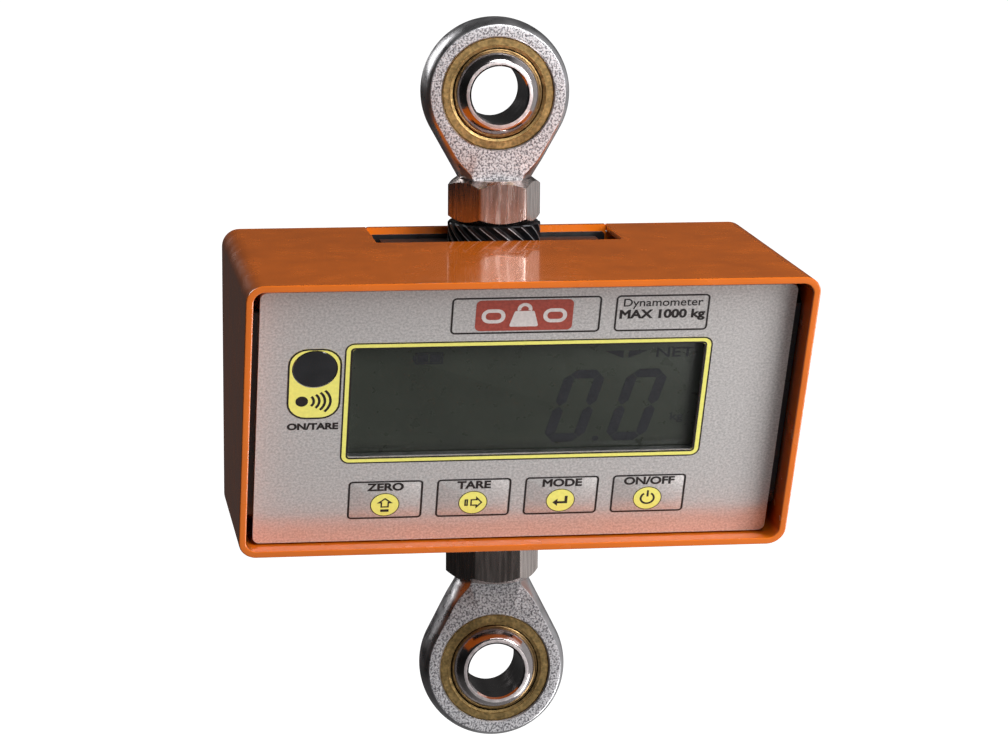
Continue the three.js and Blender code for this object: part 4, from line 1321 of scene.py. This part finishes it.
WAVE_TURN = 0.82  # half the turn of a radio wave's arc, radians
HANDLE_PAST = 0.3  # how far the weight's handle runs past a half circle, radians


def arc_stroke(x, y, radius, width, start, end, steps, z, ink):
    """A printed arc between two turns, its width measured inward."""
    turns = steps_between(start, end, steps)
    outer = [(x + radius * math.cos(t), y + radius * math.sin(t)) for t in turns]
    hollow_r = radius - width
    inner = [(x + hollow_r * math.cos(t), y + hollow_r * math.sin(t)) for t in reversed(turns)]
    return shape_of(outer + inner, z, ink)


def badge_artwork():
    """Framed red badge with a drawn weight, and a data label with the capacity."""
    sizes = settings().panel
    u, v, _, h, _, _ = on_panel("display_window")
    black, red, white = finish("ink_black"), finish("ink_red"), finish("ink_white")
    ink, line = sizes.ink, sizes.line
    row = v + h / 2 + sizes.border + sizes.top_row + sizes.badge_h / 2
    badge = u - sizes.badge_shift
    art = [(black, framed(sizes.badge_w, sizes.badge_h, 1.3 * MM, badge, row, line, 0, ink))]
    art.append(
        (red, field(sizes.badge_w * 0.65, sizes.badge_h * 0.84, 1.5 * MM, badge - 0.5 * MM, row, 0, ink))
    )
    art += [(white, part) for part in weight_symbol(badge - 0.5 * MM, row, ink)]
    data = u + sizes.data_shift
    art.append((black, framed(sizes.data_w, sizes.badge_h, 1.3 * MM, data, row, line, 0, ink)))
    art.append((black, words("Dynamometer", 2.5 * MM, data, row + 3.5 * MM, 0, 0.03 * MM, 1.02)))
    art.append((black, words("MAX 1000 kg", 2.6 * MM, data, row - 0.3 * MM, 0, 1.1 * sizes.bold, 1.1)))
    return art


def weight_symbol(x, y, z):
    """A cast weight under a ring, with a chain link on either side."""
    ink = settings().panel.ink
    mm = MM
    corners = [(x - 4.0 * mm, y - 3.7 * mm), (x + 4.0 * mm, y - 3.7 * mm), (x + 2.6 * mm, y + 1.4 * mm)]
    corners.append((x - 2.6 * mm, y + 1.4 * mm))
    body = shape_of(round_polygon(corners, 0.5 * mm), z, ink)
    handle = arc_stroke(x, y + 2.0 * mm, 2.0 * mm, 1.0 * mm, -HANDLE_PAST, math.pi + HANDLE_PAST, 32, z, ink)
    links = [framed(
        6.4 * mm, 4.6 * mm, 2.2 * mm, x + side * 8.3 * mm, y - 0.2 * mm, 1.1 * mm, z, ink
    ) for side in (-1, 1)]
    return [body, handle, *links]


def build_panel_print():
    """All the printing on the film."""
    art = display_artwork() + sensor_artwork() + badge_artwork()
    lift = Matrix.Translation(panel_axes()[2] * 0.02 * MM)
    piece = print_piece("panel_print", art, place=lift @ panel_place())
    return piece


ICON_SCALE = 1.16  # key icons against their first drawing


def key_icon(key, x, y, z):
    """The black symbol on a key's disc."""
    ink = settings().panel.ink
    mm = MM * ICON_SCALE
    thin = 0.42 * MM
    if key == "zero_key":
        arrow = [(0, 1.7), (1.9, 0.1), (1.0, 0.1), (1.0, -1.2), (-1.0, -1.2), (-1.0, 0.1), (-1.9, 0.1)]
        bar = box_outline(2.0, 0.75, 0, -2.15)
        return [hollow(arrow, x, y + 0.35 * mm, thin, z), hollow(bar, x, y + 0.35 * mm, thin, z)]
    if key == "tare_key":
        arrow = [(1.7, 0), (0.1, 1.9), (0.1, 1.0), (-1.2, 1.0), (-1.2, -1.0), (0.1, -1.0), (0.1, -1.9)]
        bar = box_outline(0.85, 2.0, -2.2, 0)
        return [hollow(arrow[::-1], x + 0.6 * mm, y, thin, z), hollow(bar, x + 0.6 * mm, y, thin, z)]
    if key == "mode_key":
        head = [(-1.9, -0.6), (-0.7, -1.7), (-0.7, 0.5)]
        stem = [(-0.8, -0.95), (1.7, -0.95), (1.7, 1.3), (1.0, 1.3), (1.0, -0.3), (-0.8, -0.3)]
        return [shape_of([(x + a * mm, y + b * mm) for a, b in part], z, ink) for part in (head, stem)]
    gap = 0.55
    turns = steps_between(math.pi / 2 + gap, math.pi * 2.5 - gap, 40)
    outer = [(x + 1.85 * mm * math.cos(t), y + 1.85 * mm * math.sin(t)) for t in turns]
    inner = [(x + 1.35 * mm * math.cos(t), y + 1.35 * mm * math.sin(t)) for t in reversed(turns)]
    stem = [(x + a * mm, y + b * mm) for a, b in box_outline(0.5, 1.9, 0, 1.4)]
    return [shape_of(outer + inner, z, ink), shape_of(stem, z, ink)]


def box_outline(width, height, x, y):
    """Corners of an upright rectangle, counterclockwise."""
    a, b = width / 2, height / 2
    return [(x - a, y - b), (x + a, y - b), (x + a, y + b), (x - a, y + b)]


def hollow(outline, x, y, line, z):
    """A printed line just inside a straight-sided outline in millimetres, given either way round."""
    points = [Vector((x + a * MM * ICON_SCALE, y + b * MM * ICON_SCALE)) for a, b in outline]
    area = sum(p.x * q.y - q.x * p.y for p, q in zip(points, points[1:] + points[:1]))
    way = 1 if area > 0 else -1
    inner = []
    for i, here in enumerate(points):
        back = (here - points[i - 1]).normalized()
        on = (points[(i + 1) % len(points)] - here).normalized()
        side_back = Vector((-back.y, back.x)) * way
        side_on = Vector((-on.y, on.x)) * way
        turn = (side_back + side_on).normalized()
        inner.append(here + turn * (line / max(0.3, turn.dot(side_on))))
    return ring([tuple(p) for p in points], [tuple(p) for p in inner], z, z + settings().panel.ink)


KEY_LABELS = {"zero_key": "ZERO", "tare_key": "TARE", "mode_key": "MODE", "power_key": "ON/OFF"}


def build_key(key):
    """A key's cap and plunger, covered with the same film as the panel."""
    u, v, w, h, bottom, top = on_panel(key)
    thick = 2.4 * MM
    cap = slab(lambda inset: round_rect(
        w - 2 * inset, h - 2 * inset, 1.2 * MM - inset, u, v
    ), top - thick, top, 0.08 * MM)
    plunger_v = v - 1.8 * MM
    plunger = slab(lambda inset: circle(2.6 * MM - inset, 32, u, plunger_v), -0.9 * MM, thick, 0.0)
    plunger = moved(plunger, Matrix.Translation((0, 0, bottom + 0.9 * MM)))
    place = panel_place()
    piece = make_piece(key + "_cap", joined([cap, plunger]), [finish("silver_film")], key, place)
    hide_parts(key)
    return piece


def build_key_print(key):
    """A key's outline, label, disc and symbol."""
    sizes = settings().panel
    u, v, w, h, _, _ = on_panel(key)
    black, yellow = finish("ink_black"), finish("ink_yellow")
    ink, line = sizes.ink, sizes.line
    disc_v = v - sizes.disc_drop
    art = [(black, framed(w, h, 1.2 * MM, u, v, line, 0, ink))]
    art.append((yellow, shape_of(circle(sizes.disc, 56, u, disc_v), 0, ink)))
    rim = ring(circle(sizes.disc, 56, u, disc_v), circle(sizes.disc - 0.22 * MM, 56, u, disc_v), ink, 2 * ink)
    art.append((black, rim))
    art += [(black, part) for part in key_icon(key, u, disc_v, ink)]
    label = words(KEY_LABELS[key], sizes.label, u, v + sizes.label_rise, 0, sizes.bold, 1.1)
    art.append((black, label))
    lift = Matrix.Translation(panel_axes()[2] * 0.02 * MM)
    piece = print_piece(key + "_print", art, key, lift @ panel_place())
    return piece


def build_windows():
    """Clear display window and dark sensor window."""
    u, v, w, h, bottom, top = on_panel("display_window")
    pane = slab(lambda inset: round_rect(w - 2 * inset, h - 2 * inset, 0.7 * MM, u, v), bottom, top, 0.1 * MM)
    window = make_piece("clear_pane", pane, [finish("clear_window")], place=panel_place())
    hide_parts("display_window")
    u, v, w, _, bottom, top = on_panel("sensor_window")
    levels = [(w / 2, bottom), (w / 2, top - 0.3 * MM), (w / 2 - 0.3 * MM, top - 0.03 * MM)]
    levels += [(w / 2 * share, top - 0.03 * MM + 0.03 * MM * (1 - share)) for share in (0.8, 0.5, 0.2, 0.02)]
    loops = [[(x, y, z) for x, y in circle(radius, 72, u, v)] for radius, z in levels]
    eye = make_piece("sensor_lens", loft(loops), [finish("sensor_plastic")], place=panel_place())
    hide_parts("sensor_window")


def segment(along, across, x, y, upright):
    """Corners of one stroke of a figure: a bar with pointed ends."""
    a, b = along / 2, across / 2
    bar = [(-a, 0), (-a + b, -b), (a - b, -b), (a, 0), (a - b, b), (-a + b, b)]
    if upright:
        bar = [(-q, p) for p, q in bar]
    return [(x + p, y + q) for p, q in bar]


def figure_zero(x, y):
    """The six strokes of a nought."""
    sizes = settings().panel
    w, h, s = sizes.digit_w, sizes.digit_h, sizes.stroke
    gap = 0.25 * MM
    flat, tall = w - s - gap, (h - s) / 2 - gap
    strokes = [segment(flat, s, x, y + side * (h - s) / 2, False) for side in (-1, 1)]
    for side in (-1, 1):
        for end in (-1, 1):
            strokes.append(segment(tall, s, x + side * (w - s) / 2, y + end * (h - s) / 4, True))
    return strokes


def leaned(outline, middle):
    """An outline leaned to the right about a height."""
    lean = math.tan(settings().panel.digit_lean)
    return [(x + (y - middle) * lean, y) for x, y in outline]


def build_display():
    """The display's glass and its dark figures: 0.0 kg, NET, two pointers and a battery."""
    sizes = settings().panel
    u, v, w, h, bottom, top = on_panel("lcd_glass")
    glass = slab(
        lambda inset: round_rect(w - 2 * inset, h - 2 * inset, 0.5 * MM, u, v), bottom, top, 0.1 * MM
    )
    piece = make_piece("display_glass_plate", glass, [finish("display_glass")], place=panel_place())
    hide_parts("lcd_glass")
    dark = finish("lcd_figure")
    ink = sizes.ink
    u, v = u - sizes.display_left, v - sizes.display_low
    mid_v = v - 2.0 * MM
    art = []
    for k in (-1, 1):
        x = u + sizes.digit_shift + 8.7 * MM + k * sizes.digit_pitch / 2
        art += [leaned(stroke, mid_v) for stroke in figure_zero(x, mid_v)]
    point_u = u + sizes.digit_shift + 6.8 * MM
    art.append(circle(0.9 * MM, 20, point_u, v - 13.3 * MM))
    for k, skew in ((0, -1), (1, 1)):
        x = u + (23.0 + 6.6 * k) * MM
        y = v + 15.2 * MM
        art.append(
            [(x - 2.6 * MM, y + 1.3 * MM), (x - 2.6 * MM * skew, y - 1.2 * MM), (x + 2.6 * MM, y + 1.3 * MM)]
        )
    shapes = [shape_of(outline, top, ink) for outline in art]
    shapes += battery_symbol(u - 27.4 * MM, v + 15.2 * MM, top, ink)
    shapes.append(words("kg", 2.6 * MM, u + 42.2 * MM, v - 6.2 * MM, top, 0.03 * MM, 1.1))
    shapes.append(words("NET", 3.1 * MM, u + 39.6 * MM, v + 15.7 * MM, top, 0.05 * MM, 1.25))
    lift = Matrix.Translation(panel_axes()[2] * 0.02 * MM)
    figures = print_piece("display_figures", [(dark, shape) for shape in shapes], place=lift @ panel_place())


def battery_symbol(x, y, z, ink):
    """A battery with its bars in two blocks."""
    mm = MM
    case = framed(7.6 * mm, 3.9 * mm, 0.3 * mm, x, y, 0.4 * mm, z, ink)
    blocks = [field(2.9 * mm, 2.7 * mm, 0.1 * mm, x + side * 1.7 * mm, y, z, ink) for side in (-1, 1)]
    nub = field(0.5 * mm, 1.6 * mm, 0.1 * mm, x - 4.1 * mm, y, z, ink)
    return [case, nub, *blocks]


# ---------------------------------------------------------------- inner pieces that keep their frame shape

INNER = {
    "cell_coating": ("load_cell",),
    "aluminium": ("gauge_cover_front", "gauge_cover_rear", "front_plate"),
    "black_steel": ("cell_cable_gland",),
    "screw_steel": tuple("board_screw_%d" % k for k in range(1, 5))
    + tuple("panel_nut_%d" % k for k in range(1, 5))
    + ("cell_spacer_1", "cell_spacer_2"),
    "dark_plastic": (
        "lcd_holder", "battery_tray", "panel_bracket_left", "panel_bracket_right"
    ) + tuple("key_switch_%d" % k for k in range(1, 5)),
    "circuit_green": ("circuit_board",),
    "worn_edge": ("battery_contact_upper", "battery_contact_lower"),
    "battery_sleeve": tuple("battery_%d" % k for k in range(1, 5)),
    "cable_sheath": ("cell_cable",),
    "lead_sheath": ("battery_lead",),
}


def dress_node(node, material):
    """A finish and softened edges on a piece that keeps its frame shape."""
    piece = frame["nodes"][node]
    piece.data.materials.clear()
    piece.data.materials.append(material)
    weld = piece.modifiers.new("Join", "WELD")
    weld.merge_threshold = 1e-6
    flat = piece.modifiers.new("Flat faces", "DECIMATE")
    flat.decimate_type = "DISSOLVE"
    flat.angle_limit = math.radians(1)
    bevel = piece.modifiers.new("Soften", "BEVEL")
    bevel.width = 0.15 * MM
    bevel.segments = 2
    bevel.limit_method = "ANGLE"
    bevel.angle_limit = math.radians(40)
    weigh = piece.modifiers.new("Even shading", "WEIGHTED_NORMAL")
    weigh.keep_sharp = True


# ---------------------------------------------------------------- stage


def add_camera():
    """Camera to the left of and above the display."""
    sizes = settings().stage
    lens = bpy.data.cameras.new("camera")
    lens.lens = sizes.lens
    lens.sensor_width = 36
    lens.clip_end = 500
    camera = bpy.data.objects.new("camera", lens)
    bpy.context.scene.collection.objects.link(camera)
    turn = Matrix.Rotation(-sizes.camera_turn, 4, "Z")
    dip = Matrix.Rotation(math.pi / 2 - sizes.camera_dip, 4, "X")
    roll = Matrix.Rotation(sizes.camera_roll, 4, "Z")
    camera.matrix_world = Matrix.Translation(sizes.camera_place) @ turn @ dip @ roll
    bpy.context.scene.camera = camera


def add_floor():
    """Pale floor well below the scale, seen only by the camera."""
    sizes = settings().stage
    r, z = sizes.floor_reach, -sizes.floor_drop
    mesh = bpy.data.meshes.new("floor")
    mesh.from_pydata([(-r, -r, z), (r, -r, z), (r, r, z), (-r, r, z)], [], [(0, 1, 2, 3)])
    floor = bpy.data.objects.new("floor", mesh)
    bpy.context.scene.collection.objects.link(floor)
    material = finish("floor_paper")
    shader = material.node_tree.nodes["Principled BSDF"]
    shader.inputs["Emission Color"].default_value = (1, 1, 1, 1)
    shader.inputs["Emission Strength"].default_value = 1.0
    mesh.materials.append(material)
    floor.visible_glossy = False
    floor.visible_diffuse = False
    floor.visible_transmission = False
    floor.visible_shadow = False


def add_lamp(name, power, size, towards, distance, aim):
    """A square soft lamp in a direction from a point, facing it."""
    data = bpy.data.lights.new(name, "AREA")
    data.energy = power
    data.size = size
    lamp = bpy.data.objects.new(name, data)
    bpy.context.scene.collection.objects.link(lamp)
    way = Vector(towards).normalized()
    lamp.location = Vector(aim) + way * distance
    lamp.rotation_euler = way.to_track_quat("Z", "Y").to_euler()
    lamp.visible_camera = False
    return lamp


def ramp_of(tree, factor, stops):
    """A grey ramp through (place, brightness) stops."""
    ramp = add_node(tree, "ShaderNodeValToRGB")
    elements = ramp.color_ramp.elements
    while len(elements) < len(stops):
        elements.new(0.5)
    for element, (place, value) in zip(elements, stops):
        element.position = place
        element.color = (value, value, value, 1)
    tree.links.new(factor, ramp.inputs["Fac"])
    return ramp.outputs["Color"]


def add_room():
    """Soft light from all round: bright below and on the right, dim at level and on the left."""
    world = bpy.data.worlds.new("studio")
    bpy.context.scene.world = world
    world.use_nodes = True
    tree = world.node_tree
    background = tree.nodes["Background"]
    coordinate = add_node(tree, "ShaderNodeTexCoord")
    split = add_node(tree, "ShaderNodeSeparateXYZ")
    tree.links.new(coordinate.outputs["Generated"], split.inputs["Vector"])
    scaled = {}
    for axis in ("X", "Z"):
        shift = add_node(tree, "ShaderNodeMapRange")
        shift.inputs["From Min"].default_value = -1
        tree.links.new(split.outputs[axis], shift.inputs["Value"])
        scaled[axis] = shift.outputs["Result"]
    height = [(0.0, 0.30), (0.2, 0.25), (0.34, 0.05), (0.60, 0.03), (0.75, 0.08), (1.0, 0.06)]
    upright = ramp_of(tree, scaled["Z"], height)
    side = ramp_of(tree, scaled["X"], [(0.15, 0.30), (0.5, 0.8), (0.62, 1.0), (1.0, 1.0)])
    both = add_node(tree, "ShaderNodeMix", data_type="RGBA", blend_type="MULTIPLY")
    both.inputs["Factor"].default_value = 1.0
    tree.links.new(upright, both.inputs[6])
    tree.links.new(side, both.inputs[7])
    right = ramp_of(tree, scaled["X"], [(0.70, 0.0), (0.84, 0.5), (1.0, 0.5)])
    lit = add_node(tree, "ShaderNodeMix", data_type="RGBA", blend_type="LIGHTEN")
    lit.inputs["Factor"].default_value = 1.0
    tree.links.new(both.outputs[2], lit.inputs[6])
    tree.links.new(right, lit.inputs[7])
    tree.links.new(lit.outputs[2], background.inputs["Color"])
    backdrop = add_node(tree, "ShaderNodeBackground")
    backdrop.inputs["Color"].default_value = (1, 1, 1, 1)
    backdrop.inputs["Strength"].default_value = 1.1
    path = add_node(tree, "ShaderNodeLightPath")
    choose = add_node(tree, "ShaderNodeMixShader")
    tree.links.new(path.outputs["Is Camera Ray"], choose.inputs[0])
    tree.links.new(background.outputs[0], choose.inputs[1])
    tree.links.new(backdrop.outputs[0], choose.inputs[2])
    tree.links.new(choose.outputs[0], tree.nodes["World Output"].inputs["Surface"])


def build_stage():
    """Camera, floor, lamps and studio light."""
    sizes = settings().stage
    add_camera()
    add_floor()
    low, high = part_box("housing_shell")
    aim = (low + high) / 2
    add_lamp("key_lamp", sizes.key_power, 0.7, (0.2, -0.78, 1.0), 1.6, aim)
    add_lamp("side_lamp", sizes.side_power, 0.25, (0.6, -0.75, 0.45), 0.7, aim)
    add_lamp("low_lamp", sizes.low_power, 0.6, (0.80, -0.35, -0.75), 1.2, aim)
    add_lamp("rear_lamp", sizes.rear_power, 0.7, (-0.7, 1.0, 0.5), 1.6, aim)
    add_room()
    bpy.context.scene.view_settings.view_transform = "Standard"


# ---------------------------------------------------------------- operators


class SCALE_OT_rod_ends(bpy.types.Operator):
    """Build the two forged rod ends"""

    bl_idname = "crane_scale.rod_ends"
    bl_label = "Rod ends"

    def execute(self, context):
        for which in EYES:
            build_rod_end(which)
        return {"FINISHED"}


class SCALE_OT_bearings(bpy.types.Operator):
    """Build the brass races and the swivel balls"""

    bl_idname = "crane_scale.bearings"
    bl_label = "Bearings"

    def execute(self, context):
        for which in EYES:
            build_race(which)
            build_ball(which)
        return {"FINISHED"}


class SCALE_OT_nuts(bpy.types.Operator):
    """Build the lock nuts and the toothed lock collars"""

    bl_idname = "crane_scale.nuts"
    bl_label = "Nuts and collars"

    def execute(self, context):
        for which in EYES:
            build_nut(which)
            build_collar(which)
        return {"FINISHED"}


class SCALE_OT_housing(bpy.types.Operator):
    """Build the painted housing"""

    bl_idname = "crane_scale.housing"
    bl_label = "Housing"

    def execute(self, context):
        build_housing()
        return {"FINISHED"}


class SCALE_OT_rear(bpy.types.Operator):
    """Build the rear cover and its screws"""

    bl_idname = "crane_scale.rear"
    bl_label = "Rear cover"

    def execute(self, context):
        build_rear_cover()
        build_slot_shade_sheet()
        screws = sorted(node for node in frame["nodes"] if "screw" in node and not node.startswith("board"))
        for node in screws:
            build_rear_screw(node)
        return {"FINISHED"}


class SCALE_OT_panel(bpy.types.Operator):
    """Build the panel's film, its windows and its printing"""

    bl_idname = "crane_scale.panel"
    bl_label = "Display panel"

    def execute(self, context):
        build_film()
        build_windows()
        build_panel_print()
        return {"FINISHED"}


class SCALE_OT_display(bpy.types.Operator):
    """Build the display and its figures"""

    bl_idname = "crane_scale.display"
    bl_label = "Display"

    def execute(self, context):
        build_display()
        return {"FINISHED"}


class SCALE_OT_keys(bpy.types.Operator):
    """Build the four keys and their printing"""

    bl_idname = "crane_scale.keys"
    bl_label = "Keys"

    def execute(self, context):
        for key in KEYS:
            build_key(key)
            build_key_print(key)
        return {"FINISHED"}


class SCALE_OT_inner(bpy.types.Operator):
    """Dress the inner pieces: load cell, board, brackets, batteries and wiring"""

    bl_idname = "crane_scale.inner"
    bl_label = "Inner pieces"

    def execute(self, context):
        for name, nodes in INNER.items():
            for node in nodes:
                dress_node(node, finish(name))
        return {"FINISHED"}


class SCALE_OT_stage(bpy.types.Operator):
    """Set up the camera, the floor and the lights"""

    bl_idname = "crane_scale.stage"
    bl_label = "Stage"

    def execute(self, context):
        build_stage()
        return {"FINISHED"}


OPERATORS = (
    SCALE_OT_stage,
    SCALE_OT_rod_ends,
    SCALE_OT_bearings,
    SCALE_OT_nuts,
    SCALE_OT_housing,
    SCALE_OT_rear,
    SCALE_OT_panel,
    SCALE_OT_display,
    SCALE_OT_keys,
    SCALE_OT_inner,
)


class SCALE_PT_sidebar(bpy.types.Panel):
    """Lists what can be built"""

    bl_idname = "SCALE_PT_sidebar"
    bl_label = "Crane Scale"
    bl_space_type = "VIEW_3D"
    bl_region_type = "UI"
    bl_category = "Crane Scale"

    def draw(self, context):
        column = self.layout.column(align=True)
        for operator in OPERATORS:
            column.operator(operator.bl_idname)


GROUPS = (EyeSizes, HousingSizes, PanelSizes, Colours, StageSizes, CraneScaleSettings)


def register():
    """Registers the settings, the operators and the sidebar."""
    for group in GROUPS + OPERATORS + (SCALE_PT_sidebar,):
        bpy.utils.register_class(group)
    bpy.types.Scene.crane_scale = PointerProperty(type=CraneScaleSettings)


def unregister():
    """Takes them away again."""
    del bpy.types.Scene.crane_scale
    for group in reversed(GROUPS + OPERATORS + (SCALE_PT_sidebar,)):
        bpy.utils.unregister_class(group)


def main():
    """Builds everything."""
    register()
    for operator in OPERATORS:
        group, name = operator.bl_idname.split(".")
        getattr(getattr(bpy.ops, group), name)()


if __name__ == "__main__":
    main()
